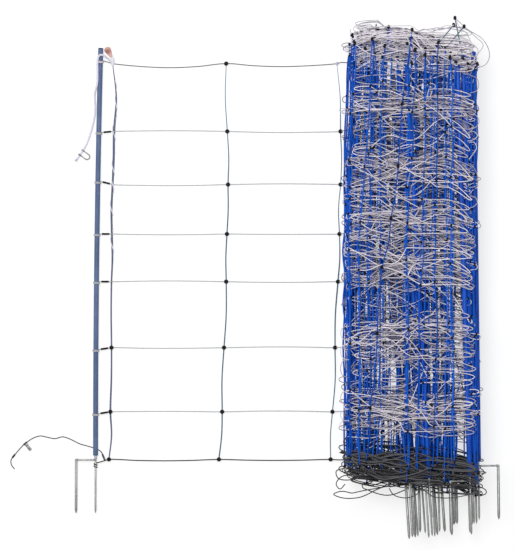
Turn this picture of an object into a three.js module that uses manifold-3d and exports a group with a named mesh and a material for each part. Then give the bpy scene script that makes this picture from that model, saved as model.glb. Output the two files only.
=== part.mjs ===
// Electric sheep netting, 108 cm high, laid flat on the floor. Its first field is
// open beside the end post, and the rest is folded on a bundle of thirteen posts.
// Millimetres. X runs along the netting, Y up the posts, and Z up from the floor.

import * as THREE from 'three';
import { mergeVertices } from 'three/addons/utils/BufferGeometryUtils.js';
import Module from 'manifold-3d';

const wasm = await Module();
wasm.setup();

// The play between pieces that touch.
const gap = 0.3;

// The netting: eight strands across, and twine uprights with moulded knots.
const rowHeights = [130, 175, 180, 130, 135, 145, 185];
const meshWidth = 308;
const baseStrandY = -484;
const strandDiameter = 2.6;
const baseStrandDiameter = 3.6;
const twineDiameter = 2.4;
const twineFloorGap = 0.4;
const knotWidth = 9.6;
const knotLength = 11;
const knotNeckWidth = 6.4;
const knotSides = 4;
const paleKnotScale = 0.8;
const strandSides = 5;
const ringSides = 5;

// How far each upright strays at each strand, and between the strands.
const uprightSway = [
  [-7, -3, 0, 0, 1, 3, 7, 3],
  [-15, -6, -1, 5, 7, 10, 8, 5],
  [-18, -13, -6, 2, 6, 9, 9, -1],
];
const uprightBulge = [
  [5, 1, -1, 2, -2, 1, 8],
  [3, -3, 3, -2, 2, 3, -4],
  [-3, 4, -3, 3, -4, 3, 4],
];
// How far each strand sags between the uprights, from the base strand up.
const strandSag = [
  [-4, -3, -1],
  [1, 2, 1],
  [-2, 2, 1],
  [2, -2, -1],
  [-2, -1, 1],
  [-3, 2, -1],
  [2, -3, 2],
  [-11, -8, 3],
];

// The posts: plastic tubes with a steel foot of two spikes and a step between them.
const postDiameter = 14;
const postBore = 10;
const postAboveTopStrand = 40;
const postAboveBaseStrand = 11;
const postCrownHeight = 3;
const postRoofThickness = 4;
const postSides = 10;
const neckDiameter = 8;
const neckLength = 15;
const stemInsertLength = 60;
const stemDiameter = 5.4;
const spikeDiameter = 7.5;
const spikeLength = 158;
const spikeTipLength = 12;
const spikeTipDiameter = 2;
const spikeSpacing = 53;
const stepDiameter = 5;
const stepDrop = 12;
const steelSides = 6;

// The end post leans and bows a little as it lies.
const endPostX = -522;
const endPostLean = 14;
const endPostBow = 3.7;
const endPostToFirstUpright = 43;
const endPostSteps = 4;
const capSkirt = 9;
const capDiameter = 14.6;
const capRoof = 2.4;

// The ties that hold the strands on the end post, and the sleeves that close them.
const tieRise = [-9, -5, -5, 0, 0, 8, -3, 7];
const sleeveDiameter = 5.6;
const sleeveLength = 21;
const sleeveFromPost = 3;
const sleeveSides = 6;
const topTieDiameter = 11;
const topTieLength = 24;
const topTieRise = 6;
const topTieZ = 6;

// The end clip: a flat teardrop of orange plastic with its tail in the top tie.
const clipHeadRadius = 9.3;
const clipTailWidth = 3.6;
const clipLength = 27;
const clipThickness = 7;
const clipBevel = 1.6;
const clipTurn = 29;
const clipTailDepth = 5;

// The bundle of posts: layers of posts between the folds of the netting.
const layerPitch = 18;
const firstLayerZ = 20;
const bundleGap = 16;
const bundleHalfWidth = 187;
// Each post: the layer it lies in, where its foot stands off the middle of the
// bundle, how far its top strays from its foot, the side of its second spike,
// and how far it is pushed down below the end post.
const bundlePosts = [
  { layer: 1, foot: 1, lean: -108, side: 1, drop: 22 },
  { layer: 1, foot: 165, lean: -52, side: -1, drop: 30 },
  { layer: 2, foot: 16, lean: -94, side: 1, drop: 62 },
  { layer: 3, foot: 35, lean: -90, side: 1, drop: 52 },
  { layer: 3, foot: 104, lean: -32, side: 1, drop: 52 },
  { layer: 4, foot: 73, lean: -36, side: -1, drop: 46 },
  { layer: 4, foot: 173, lean: -26, side: -1, drop: 24 },
  { layer: 5, foot: 59, lean: -56, side: -1, drop: 58 },
  { layer: 5, foot: 179, lean: -16, side: 1, drop: 12 },
  { layer: 6, foot: 42, lean: -82, side: -1, drop: 60 },
  { layer: 6, foot: 164, lean: -30, side: -1, drop: 22 },
  { layer: 7, foot: 50, lean: -68, side: -1, drop: 54 },
  { layer: 7, foot: 156, lean: -38, side: -1, drop: 50 },
];

// The folded netting: one pile of folds for each strand, from the base strand up.
const pileHeights = [126, 137, 137, 104, 93, 109, 115, 102];
const pileRise = [-26, 13, 29, 29, 30, 34, 42, 43];
const pileLeft = [4, 0, 0, -2, 0, 0, -1, -6];
const pileRight = [12, 12, 10, 10, 11, 10, 10, 14];
const foldCount = 8;
const foldPitch = 18.5;
const foldDepth = 7;
const holeSides = 6;
const crestPitch = 30;
const crestHeight = 5;
const strandEntryDepth = 20;

// The guy rope: over the end post, down beside it and through its shackle.
const ropeDiameter = 5.5;
const ropeSides = 8;
const ropeStepsPerPoint = 1;
const ropeRoute = [
  [-481.0, 603.2, 6.6], [-487.2, 608.0, 9.6], [-496.0, 614.8, 17.2], [-503.8, 618.6, 20.9],
  [-511.2, 617.4, 21.2], [-515.4, 609.2, 19.6], [-516.6, 595.2, 18.4], [-516.4, 576.0, 18.1],
  [-516.5, 557.0, 18.2], [-517.6, 538.6, 17.4], [-521.4, 524.6, 12.4], [-524.4, 514.2, 5.6],
  [-524.6, 497.0, 3.2], [-523.4, 478.0, 3.1], [-524.2, 458.0, 3.1], [-527.8, 437.0, 3.1],
  [-532.6, 418.0, 3.1], [-538.6, 398.0, 3.1], [-545.2, 380.0, 3.6], [-553.6, 364.0, 5.4],
  [-560.8, 352.6, 6.2], [-567.0, 343.4, 6.0], [-573.4, 334.4, 4.0],
];
const shackleAt = [-560.8, 352.6, 6.2];
const shackleTurn = -36;
const shackleWire = 3.4;
const shackleLength = 26;
const shackleWidth = 15;
const eyeDiameter = 10.4;
const eyeLength = 4;

// The earth lead: from the crimp on the base strand, under the end post and away.
const leadDiameter = 2.6;
const leadSides = 8;
const leadStepsPerPoint = 2;
const leadRoute = [
  [-502.6, -472.2, 7.0], [-505.6, -465.6, 5.2], [-510.6, -460.6, 2.9], [-519.4, -455.8, 1.6],
  [-533.0, -451.2, 1.5], [-552.0, -445.8, 1.5], [-563.6, -442.6, 1.5], [-576.8, -436.4, 1.5],
  [-594.4, -427.8, 1.5], [-612.8, -422.6, 1.5], [-633.4, -427.6, 1.5], [-652.6, -424.2, 1.5],
  [-673.6, -420.2, 1.5], [-694.8, -427.0, 1.9], [-705.0, -433.6, 3.0], [-714.0, -440.4, 3.6],
  [-722.0, -447.2, 3.2], [-738.6, -466.2, 2.9], [-746.0, -475.0, 3.2], [-751.6, -482.6, 3.0],
  [-753.8, -491.4, 1.8], [-750.6, -501.8, 1.5], [-743.6, -510.6, 1.5],
];
const crimpDiameter = 5.6;
const crimpLength = 20;
const crimpDepth = 4;
const leadSleeveDiameter = 5.2;
const leadSleeveLength = 12;
const clampSleevePoint = 15;
const endSleevePoint = 18;
const clampPlateLength = 24;
const clampPlateWidth = 9;
const clampPlateThickness = 4;

// What follows from the sizes above.
const rowY = [baseStrandY];
for (const height of rowHeights) rowY.push(rowY.at(-1) + height);
const topRow = rowY.length - 1;
const postRadius = postDiameter / 2;
const postZ = postRadius + gap + strandDiameter + 0.2;
const tubeBottomY = baseStrandY + postAboveBaseStrand;
const tubeLength = rowY[topRow] + postAboveTopStrand - tubeBottomY;
const firstUprightX = endPostX + endPostToFirstUpright;
const bundleX = firstUprightX + 2 * meshWidth + bundleGap + bundleHalfWidth;
const knotZ = knotWidth / 2;
// What seats in the posts' bore clears its flat facets.
const boreSeatRadius = (postBore / 2) * Math.cos(Math.PI / postSides) - gap;
const bundleDepth = foldCount * foldPitch;

const finishes = {
  dullBlue: { color: 0x56688c, roughness: 0.55, metalness: 0 },
  brightBlue: { color: 0x14489c, roughness: 0.5, metalness: 0 },
  black: { color: 0x1c1e20, roughness: 0.6, metalness: 0 },
  steel: { color: 0x9aa09c, roughness: 0.4, metalness: 0.9 },
  wire: { color: 0xd6d6de, roughness: 0.7, metalness: 0 },
  twine: { color: 0x4a5a86, roughness: 0.8, metalness: 0 },
  orange: { color: 0xb0624f, roughness: 0.5, metalness: 0 },
  rope: { color: 0xd2d2e0, roughness: 0.85, metalness: 0 },
};

// A curve through its points whose even steps land on every one of them.
class Route extends THREE.Curve {
  constructor(points) {
    super();
    this.spline = new THREE.CatmullRomCurve3(points, false, 'centripetal');
  }

  getPoint(t, target) {
    return this.spline.getPoint(t, target);
  }

  getPointAt(t, target) {
    return this.spline.getPoint(t, target);
  }

  getTangentAt(t, target) {
    return this.spline.getTangent(t, target);
  }
}

function at(x, y, z) {
  return new THREE.Vector3(x, y, z);
}

function turned(position, degrees) {
  const turn = new THREE.Quaternion().setFromAxisAngle(at(0, 0, 1), THREE.MathUtils.degToRad(degrees));
  return new THREE.Matrix4().compose(position, turn, at(1, 1, 1));
}

// The place of a piece built along +Y when its axis is laid from one point to another.
function along(start, end) {
  const turn = new THREE.Quaternion().setFromUnitVectors(at(0, 1, 0), end.clone().sub(start).normalize());
  return new THREE.Matrix4().compose(start, turn, at(1, 1, 1));
}

function toSolid(geometry) {
  const plain = geometry.clone();
  plain.deleteAttribute('normal');
  plain.deleteAttribute('uv');
  const merged = mergeVertices(plain, 1e-3);
  const corners = merged.index.array;
  const triangles = [];
  for (let i = 0; i < corners.length; i += 3) {
    const [a, b, c] = [corners[i], corners[i + 1], corners[i + 2]];
    if (a !== b && b !== c && c !== a) triangles.push(a, b, c);
  }
  return new wasm.Manifold(new wasm.Mesh({
    numProp: 3,
    vertProperties: new Float32Array(merged.attributes.position.array),
    triVerts: new Uint32Array(triangles),
  }));
}

function toGeometry(solid) {
  const mesh = solid.getMesh();
  const geometry = new THREE.BufferGeometry();
  geometry.setAttribute('position', new THREE.BufferAttribute(mesh.vertProperties, 3));
  geometry.setIndex(new THREE.BufferAttribute(mesh.triVerts, 1));
  geometry.computeVertexNormals();
  return geometry;
}

function moved(solid, matrix) {
  return solid.transform(matrix.elements);
}

function joined(solids) {
  return solids.reduce((whole, piece) => whole.add(piece));
}

function cut(solid, tools) {
  return tools.reduce((left, tool) => left.subtract(tool), solid);
}

// A round body about the Y axis from its outline, given as radius and height.
function revolved(outline, sides) {
  const points = outline.map(([radius, height]) => new THREE.Vector2(radius, height));
  return toSolid(new THREE.LatheGeometry(points, sides));
}

function roundSection(radius, sides) {
  const corners = [];
  for (let i = 0; i < sides; i += 1) {
    const angle = (2 * Math.PI * i) / sides;
    corners.push(new THREE.Vector2(radius * Math.cos(angle), radius * Math.sin(angle)));
  }
  return new THREE.Shape(corners);
}

// A tube along a route, with a number of steps between each two of its points.
function tube(points, radius, sides, stepsPerPoint) {
  return toSolid(new THREE.ExtrudeGeometry(roundSection(radius, sides), {
    steps: (points.length - 1) * stepsPerPoint,
    bevelEnabled: false,
    extrudePath: new Route(points),
  }));
}

function rod(start, end, radius, sides) {
  const length = start.distanceTo(end);
  return moved(revolved([[0, 0], [radius, 0], [radius, length], [0, length]], sides), along(start, end));
}

// The whole part. Every mesh is added here under its own name.
const netting = new THREE.Group();

function addPiece(name, solid, finish, matrix) {
  const mesh = new THREE.Mesh(toGeometry(solid), new THREE.MeshStandardMaterial(finish));
  mesh.name = name;
  if (matrix) mesh.applyMatrix4(matrix);
  netting.add(mesh);
}

// The end post's axis at a height: it leans to one side and bows to the other.
function endPostAxisX(y) {
  const share = (y - tubeBottomY) / tubeLength;
  return endPostX + endPostLean * share - 4 * endPostBow * share * (1 - share);
}

// The foot of a post, from the tube's lower end at the origin, spikes towards -Y.
function foot(side) {
  const stemRadius = stemDiameter / 2;
  const tipRadius = spikeTipDiameter / 2;
  const stem = revolved([
    [0, -spikeLength],
    [tipRadius, -spikeLength],
    [stemRadius, spikeTipLength - spikeLength],
    [stemRadius, -neckLength],
    [neckDiameter / 2, -neckLength],
    [neckDiameter / 2, 0],
    [boreSeatRadius, 0],
    [boreSeatRadius, stemInsertLength],
    [0, stemInsertLength],
  ], steelSides);
  const spikeRadius = spikeDiameter / 2;
  const spike = revolved([
    [0, -spikeLength],
    [tipRadius, -spikeLength],
    [spikeRadius, spikeTipLength - spikeLength],
    [spikeRadius, -stepDrop - spikeRadius],
    [stepDiameter / 2, -stepDrop + stepDiameter / 2],
    [0, -stepDrop + stepDiameter / 2],
  ], steelSides).translate([side * spikeSpacing, 0, 0]);
  const step = rod(at(0, -stepDrop, 0), at(side * spikeSpacing, -stepDrop, 0), stepDiameter / 2, steelSides);
  return joined([stem, step, spike]);
}

// A bundle post with its top moulded shut, from its lower end at the origin.
function bundlePost() {
  const roof = tubeLength - postRoofThickness;
  return revolved([
    [0, roof],
    [postBore / 2, roof],
    [postBore / 2, 0],
    [postRadius, 0],
    [postRadius, tubeLength - postCrownHeight],
    [postRadius - postCrownHeight / 2, tubeLength],
    [0, tubeLength],
  ], postSides);
}

// The room a bundle post takes in the piles: a straight hole with few sides.
function postRoom() {
  const reach = (postRadius + gap) / Math.cos(Math.PI / holeSides);
  return revolved([[0, -gap], [reach, -gap], [reach, tubeLength + gap], [0, tubeLength + gap]], holeSides);
}

// The room a foot takes in the base pile: a flat slot open towards the spikes' tips.
function footRoom(side) {
  const thickness = Math.max(neckDiameter, spikeDiameter) + 2 * gap;
  const width = spikeSpacing + neckDiameter / 2 + spikeDiameter / 2 + 2 * gap;
  const middle = (spikeSpacing + spikeDiameter / 2 - neckDiameter / 2) / 2;
  const slot = toSolid(new THREE.BoxGeometry(width, spikeLength, thickness));
  return slot.translate([side * middle, -spikeLength / 2, 0]);
}

function addEndPost() {
  const axis = [];
  for (let i = 0; i <= endPostSteps; i += 1) {
    const y = tubeBottomY + (tubeLength * i) / endPostSteps;
    axis.push(at(endPostAxisX(y), y, postZ));
  }
  const outside = tube(axis, postRadius, postSides, 1);
  const overshoot = axis.map((point) => point.clone());
  overshoot[0].y -= 1;
  overshoot.at(-1).y += 1;
  addPiece('end_post_tube', outside.subtract(tube(overshoot, postBore / 2, postSides, 1)), finishes.dullBlue);

  const cap = revolved([
    [0, -capSkirt],
    [boreSeatRadius, -capSkirt],
    [boreSeatRadius, gap],
    [capDiameter / 2, gap],
    [capDiameter / 2, capRoof - 1],
    [capDiameter / 2 - 1, capRoof],
    [0, capRoof],
  ], postSides);
  const top = axis.at(-1);
  const beyondTop = top.clone().multiplyScalar(2).sub(axis.at(-2));
  addPiece('end_post_cap', cap, finishes.black, along(top, beyondTop));
  const footPlace = along(axis[0], axis[1]).multiply(new THREE.Matrix4().makeTranslation(0, -gap, 0));
  addPiece('end_post_foot', foot(-1), finishes.steel, footPlace);
}

function strandRadius(row) {
  return (row === 0 ? baseStrandDiameter : strandDiameter) / 2;
}

// How far the strand and the upright's twine lie apart inside a knot.
function knotSplit(row) {
  return (strandRadius(row) + twineDiameter / 2 + 2 * gap) / 2;
}

function crossing(column, row) {
  return at(firstUprightX + column * meshWidth + uprightSway[column][row], rowY[row], knotZ);
}

// The ring in which a strand's end goes round the end post, or round its foot's stem.
function tieRing(row) {
  const wire = strandRadius(row);
  const core = row === 0 ? stemDiameter / 2 : postRadius;
  const reach = core + gap + wire;
  const y = rowY[row] + tieRise[row];
  const outline = [];
  for (let i = 0; i <= ringSides; i += 1) {
    const angle = (2 * Math.PI * i) / ringSides;
    outline.push([reach + wire * Math.cos(angle), wire * Math.sin(angle)]);
  }
  const x = row === 0 ? endPostX : endPostAxisX(y);
  const ring = revolved(outline, postSides).translate([x, y, postZ]);
  return { ring, exit: at(x + reach, y, postZ) };
}

// The points of a strand: from its tie, past the three uprights and into its pile.
function strandPoints(row) {
  const { exit } = tieRing(row);
  const lift = knotSplit(row);
  const low = strandRadius(row) + twineFloorGap;
  const crossings = [0, 1, 2].map((column) => crossing(column, row).setZ(knotZ + lift));
  if (row === topRow) crossings[0].setZ(topTieZ);
  const points = [exit, exit.clone().lerp(crossings[0], 1 / 3), exit.clone().lerp(crossings[0], 2 / 3)];
  crossings.forEach((point, column) => {
    points.push(point);
    if (column === 2) return;
    const next = crossings[column + 1];
    for (const share of [0.25, 0.5, 0.75]) {
      const middle = point.clone().lerp(next, share);
      middle.y += strandSag[row][column] * Math.sin(Math.PI * share);
      middle.z = low + (share === 0.5 ? 0 : 0.8);
      points.push(middle);
    }
  });
  const entryX = bundleX - bundleHalfWidth + foldDepth;
  const entryZ = foldPitch / 2;
  points.push(at((points.at(-1).x + entryX) / 2, rowY[row] + strandSag[row][2], entryZ));
  points.push(at(entryX + strandEntryDepth, rowY[row], entryZ));
  return points;
}

const strandRoutes = rowY.map((y, row) => strandPoints(row));

function strandTube(row, play) {
  return tube(strandRoutes[row], strandRadius(row) + play, strandSides, 1);
}

// The points of an upright's twine through its knots, sagging to the floor between them.
function uprightPoints(column) {
  const points = [];
  rowY.forEach((y, row) => {
    points.push(crossing(column, row).setZ(knotZ - knotSplit(row)));
    if (row === topRow) return;
    const next = crossing(column, row + 1);
    const middle = crossing(column, row).lerp(next, 0.5);
    middle.x += uprightBulge[column][row];
    middle.z = twineDiameter / 2 + twineFloorGap;
    points.push(middle);
  });
  return points;
}

function uprightTwine(column, play) {
  return tube(uprightPoints(column), twineDiameter / 2 + play, strandSides, 1);
}

function knot(scale) {
  const waist = knotWidth / Math.SQRT2;
  const neck = knotNeckWidth / Math.SQRT2;
  const half = knotLength / 2;
  return revolved([
    [0, -half], [neck, -half], [waist, -half / 2], [waist, half / 2], [neck, half], [0, half],
  ], knotSides).rotate([0, 45, 0]).scale([scale, scale, scale]);
}

function addUprights() {
  for (const column of [0, 1, 2]) {
    const pieces = [uprightTwine(column, 0)];
    for (let row = 0; row <= topRow; row += 1) {
      if (column === 0 && row === topRow) continue;
      const scale = column === 2 && row === topRow ? paleKnotScale : 1;
      const place = crossing(column, row);
      pieces.push(knot(scale).translate([place.x, place.y, place.z]));
    }
    const bores = rowY.map((y, row) => strandTube(row, gap));
    const threaded = column === 0 ? bores.slice(0, topRow) : bores;
    addPiece(`upright_${column + 1}`, cut(joined(pieces), threaded), finishes.twine);
  }
}

// The bound top tie, where the top strand, the first upright, the end clip and the
// guy rope come together.
const topTieCentre = crossing(0, topRow).setZ(topTieZ).add(at(0, topTieRise, 0));

function topTie() {
  const radius = topTieDiameter / 2;
  const half = topTieLength / 2;
  return revolved([
    [0, -half], [radius * 0.6, -half], [radius, -half * 0.6],
    [radius, half * 0.6], [radius * 0.6, half], [0, half],
  ], steelSides).translate([topTieCentre.x, topTieCentre.y, topTieCentre.z]);
}

function clipPlace() {
  const seat = topTieCentre.clone();
  seat.y += topTieLength / 2 - clipTailDepth;
  return turned(seat, clipTurn);
}

// The clip's teardrop, from its tail at the origin to its head on +Y.
function endClip(play) {
  const half = clipTailWidth / 2 + play;
  const headRadius = clipHeadRadius + play;
  const flank = Math.asin((headRadius - half) / clipLength);
  const outline = new THREE.Shape();
  outline.moveTo(-half, -play);
  outline.lineTo(half, -play);
  outline.absarc(0, clipLength, headRadius, -flank, Math.PI + flank, false);
  outline.closePath();
  const thickness = clipThickness + 2 * play;
  const body = toSolid(new THREE.ExtrudeGeometry(outline, {
    depth: thickness - 2 * clipBevel,
    bevelThickness: clipBevel,
    bevelSize: clipBevel / 2,
    bevelOffset: -clipBevel / 2,
    bevelSegments: 1,
    curveSegments: 10,
  }));
  return body.translate([0, 0, clipBevel - thickness / 2]);
}

function routePoints(route) {
  return route.map(([x, y, z]) => at(x, y, z));
}

const ropePoints = routePoints(ropeRoute);
const leadPoints = routePoints(leadRoute);

function rope(play) {
  return tube(ropePoints, ropeDiameter / 2 + play, ropeSides, ropeStepsPerPoint);
}

function lead(play) {
  return tube(leadPoints, leadDiameter / 2 + play, leadSides, leadStepsPerPoint);
}

// The crimp on the base strand that takes the lead's end.
function leadCrimp() {
  const mouth = leadPoints[0].clone().lerp(leadPoints[1], crimpDepth / leadPoints[0].distanceTo(leadPoints[1]));
  const root = mouth.clone().add(leadPoints[0].clone().sub(leadPoints[1]).setLength(crimpLength));
  return rod(root, mouth, crimpDiameter / 2, sleeveSides);
}

function addStrands() {
  rowY.forEach((y, row) => {
    let solid = strandTube(row, 0).add(tieRing(row).ring);
    if (row === 0) solid = cut(solid.add(leadCrimp()), [lead(gap)]);
    if (row === topRow) {
      const clip = moved(endClip(gap), clipPlace());
      solid = cut(solid.add(topTie()), [uprightTwine(0, gap), clip, rope(gap)]);
    }
    addPiece(`strand_${row + 1}`, solid, row === 0 ? finishes.black : finishes.wire);
  });
}

// The black sleeves that close the ties of the six strands between base and top.
function addSleeves() {
  for (let row = 1; row < topRow; row += 1) {
    const [start, , , first] = strandRoutes[row];
    const run = first.clone().sub(start).normalize();
    const near = start.clone().addScaledVector(run, strandRadius(row) + sleeveFromPost);
    const far = near.clone().addScaledVector(run, sleeveLength);
    const body = rod(near, far, sleeveDiameter / 2, sleeveSides);
    addPiece(`sleeve_${row}`, body.subtract(strandTube(row, gap)), finishes.black);
  }
}

// The shackle: a bow of wire between two eyes on the rope.
function addShackle() {
  const legX = shackleWidth / 2;
  const bow = tube([
    at(-legX, 0, 0), at(-legX, -shackleLength * 0.55, 0), at(-legX * 0.7, -shackleLength * 0.86, 0),
    at(0, -shackleLength, 0),
    at(legX * 0.7, -shackleLength * 0.86, 0), at(legX, -shackleLength * 0.55, 0), at(legX, 0, 0),
  ], shackleWire / 2, strandSides, 1);
  const eyes = [-legX, legX].map((x) => rod(
    at(x - eyeLength / 2, 0, 0), at(x + eyeLength / 2, 0, 0), eyeDiameter / 2, steelSides));
  const place = turned(at(...shackleAt), shackleTurn + 90);
  const body = moved(joined([bow, ...eyes]), place);
  addPiece('guy_shackle', body.subtract(rope(gap)), finishes.steel);
}

// A sleeve on the lead about one of its points.
function leadSleeve(point) {
  const middle = leadPoints[point];
  const run = leadPoints[point + 1].clone().sub(leadPoints[point - 1]).setLength(leadSleeveLength / 2);
  return { body: rod(middle.clone().sub(run), middle.clone().add(run), leadSleeveDiameter / 2, sleeveSides), run };
}

function addLeadFittings() {
  const { body, run } = leadSleeve(clampSleevePoint);
  const plate = toSolid(new THREE.BoxGeometry(clampPlateWidth, clampPlateLength, clampPlateThickness));
  const heading = THREE.MathUtils.radToDeg(Math.atan2(run.y, run.x));
  const middle = leadPoints[clampSleevePoint].clone();
  const outward = at(-run.y, run.x, 0).setLength(clampPlateLength / 2);
  const placed = moved(plate, turned(middle.clone().add(outward), heading));
  addPiece('lead_clamp', joined([body, placed]).subtract(lead(gap)), finishes.steel);
  addPiece('lead_sleeve', leadSleeve(endSleevePoint).body.subtract(lead(gap)), finishes.black);
}

// Where a bundle post's lower end lies, and how it leans from there.
function bundlePlace(post) {
  const tubeX = bundleX + post.foot + (post.lean * spikeLength) / (tubeLength + spikeLength);
  const y = tubeBottomY - post.drop;
  const z = firstLayerZ + (post.layer - 1) * layerPitch;
  const lean = Math.atan2(-post.lean, tubeLength + spikeLength);
  return turned(at(tubeX, y, z), THREE.MathUtils.radToDeg(lean));
}

function addBundlePosts() {
  bundlePosts.forEach((post, index) => {
    const label = String(index + 1).padStart(2, '0');
    const place = bundlePlace(post);
    const footPlace = place.clone().multiply(new THREE.Matrix4().makeTranslation(0, -gap, 0));
    addPiece(`post_${label}`, bundlePost(), finishes.brightBlue, place);
    addPiece(`foot_${label}`, foot(post.side), finishes.steel, footPlace);
  });
}

// The outline of a pile seen along the posts: a flat base and folds down both sides.
function pleatedOutline(left, right) {
  const outline = new THREE.Shape();
  const bulge = (x, outward, lowZ) => [
    new THREE.Vector2(x - outward * foldDepth, lowZ),
    new THREE.Vector2(x, lowZ + foldPitch / 2),
  ];
  const rightSide = [];
  const leftSide = [];
  for (let fold = 0; fold < foldCount; fold += 1) {
    rightSide.push(...bulge(right, 1, fold * foldPitch));
    leftSide.push(...bulge(left, -1, fold * foldPitch));
  }
  rightSide.push(new THREE.Vector2(right - foldDepth, bundleDepth));
  leftSide.push(new THREE.Vector2(left + foldDepth, bundleDepth));
  outline.setFromPoints([...rightSide, ...leftSide.reverse()]);
  return outline;
}

// The outline of a pile seen from its side: crests of strand across its top.
function crestedOutline(low, high) {
  const count = Math.max(2, Math.round((high - low) / crestPitch));
  const pitch = (high - low) / count;
  const valleyZ = bundleDepth - crestHeight;
  const points = [new THREE.Vector2(low, 0), new THREE.Vector2(high, 0), new THREE.Vector2(high, valleyZ)];
  for (let crest = count - 1; crest >= 0; crest -= 1) {
    const start = low + crest * pitch;
    points.push(new THREE.Vector2(start + 0.7 * pitch, bundleDepth));
    points.push(new THREE.Vector2(start + 0.3 * pitch, bundleDepth));
    points.push(new THREE.Vector2(start, valleyZ));
  }
  return new THREE.Shape(points);
}

function pile(row) {
  const left = bundleX - bundleHalfWidth - pileLeft[row];
  const right = bundleX + bundleHalfWidth + pileRight[row];
  const middleY = rowY[row] + pileRise[row];
  const low = middleY - pileHeights[row] / 2;
  const high = middleY + pileHeights[row] / 2;
  const folds = toSolid(new THREE.ExtrudeGeometry(pleatedOutline(left, right), {
    depth: high - low, bevelEnabled: false,
  })).rotate([90, 0, 0]).translate([0, high, 0]);
  const crests = toSolid(new THREE.ExtrudeGeometry(crestedOutline(low, high), {
    depth: right - left, bevelEnabled: false,
  })).rotate([90, 0, 90]).translate([left, 0, 0]);
  return folds.intersect(crests);
}

function addPiles() {
  const holes = bundlePosts.map((post) => moved(postRoom(), bundlePlace(post)));
  const slots = bundlePosts.map((post) => moved(footRoom(post.side), bundlePlace(post)));
  rowY.forEach((y, row) => {
    const tools = [...holes, strandTube(row, gap)];
    if (row === 0) tools.push(...slots);
    addPiece(`folded_net_${row + 1}`, cut(pile(row), tools), row === 0 ? finishes.black : finishes.wire);
  });
}

addEndPost();
addUprights();
addStrands();
addSleeves();
addPiece('end_clip', endClip(0), finishes.orange, clipPlace());
addPiece('guy_rope', rope(0), finishes.rope);
addShackle();
addPiece('earth_lead', lead(0), finishes.black);
addLeadFittings();
addBundlePosts();
addPiles();

export default netting;
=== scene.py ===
"""Electric sheep netting laid flat on a pale floor.

An end post with its ties, clip, guy rope and earth lead stands at the left of one open
field of netting. The rest of the netting is folded on a bundle of thirteen posts.
Metres throughout: X runs along the netting, Y up the posts and Z up from the floor.
"""

import logging
import math
from collections.abc import Callable, Sequence
from dataclasses import dataclass, field
from enum import Enum

import bpy
import numpy as np
from mathutils import Matrix, Vector


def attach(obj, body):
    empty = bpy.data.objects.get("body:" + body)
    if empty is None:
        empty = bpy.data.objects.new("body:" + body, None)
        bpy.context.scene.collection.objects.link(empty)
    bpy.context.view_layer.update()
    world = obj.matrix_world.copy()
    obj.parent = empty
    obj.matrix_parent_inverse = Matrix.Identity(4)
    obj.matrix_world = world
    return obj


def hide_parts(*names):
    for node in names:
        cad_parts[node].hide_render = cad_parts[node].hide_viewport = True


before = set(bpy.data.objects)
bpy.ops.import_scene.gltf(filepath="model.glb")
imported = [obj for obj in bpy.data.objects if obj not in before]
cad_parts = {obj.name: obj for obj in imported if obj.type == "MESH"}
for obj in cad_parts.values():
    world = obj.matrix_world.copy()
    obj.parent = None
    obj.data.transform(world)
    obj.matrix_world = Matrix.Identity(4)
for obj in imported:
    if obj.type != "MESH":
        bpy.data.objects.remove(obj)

log = logging.getLogger("netting")

ROOT = "root"
Colour = tuple[float, float, float]
Point = tuple[float, float, float]
Outline = Sequence[tuple[float, float]]
Loops = tuple[tuple[tuple[float, float], ...], ...]
Socket = bpy.types.NodeSocket
GAP = 0.0003
SMALLEST = 1e-9
RIGHT_ANGLE = math.pi / 2
STEPS_A_TURN = 24
TUBE_EDGE = 0.0005
BORE_DEPTH = 0.02
FULL_TURN = 2 * math.pi


class Side(Enum):
    """The two sides of a post or of the bundle."""

    LEFT = -1
    RIGHT = 1


class Turn(Enum):
    """Where on its side of the bundle a fold of the netting turns back."""

    BAND = 0
    INNER = 1
    STRAY = 2


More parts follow.
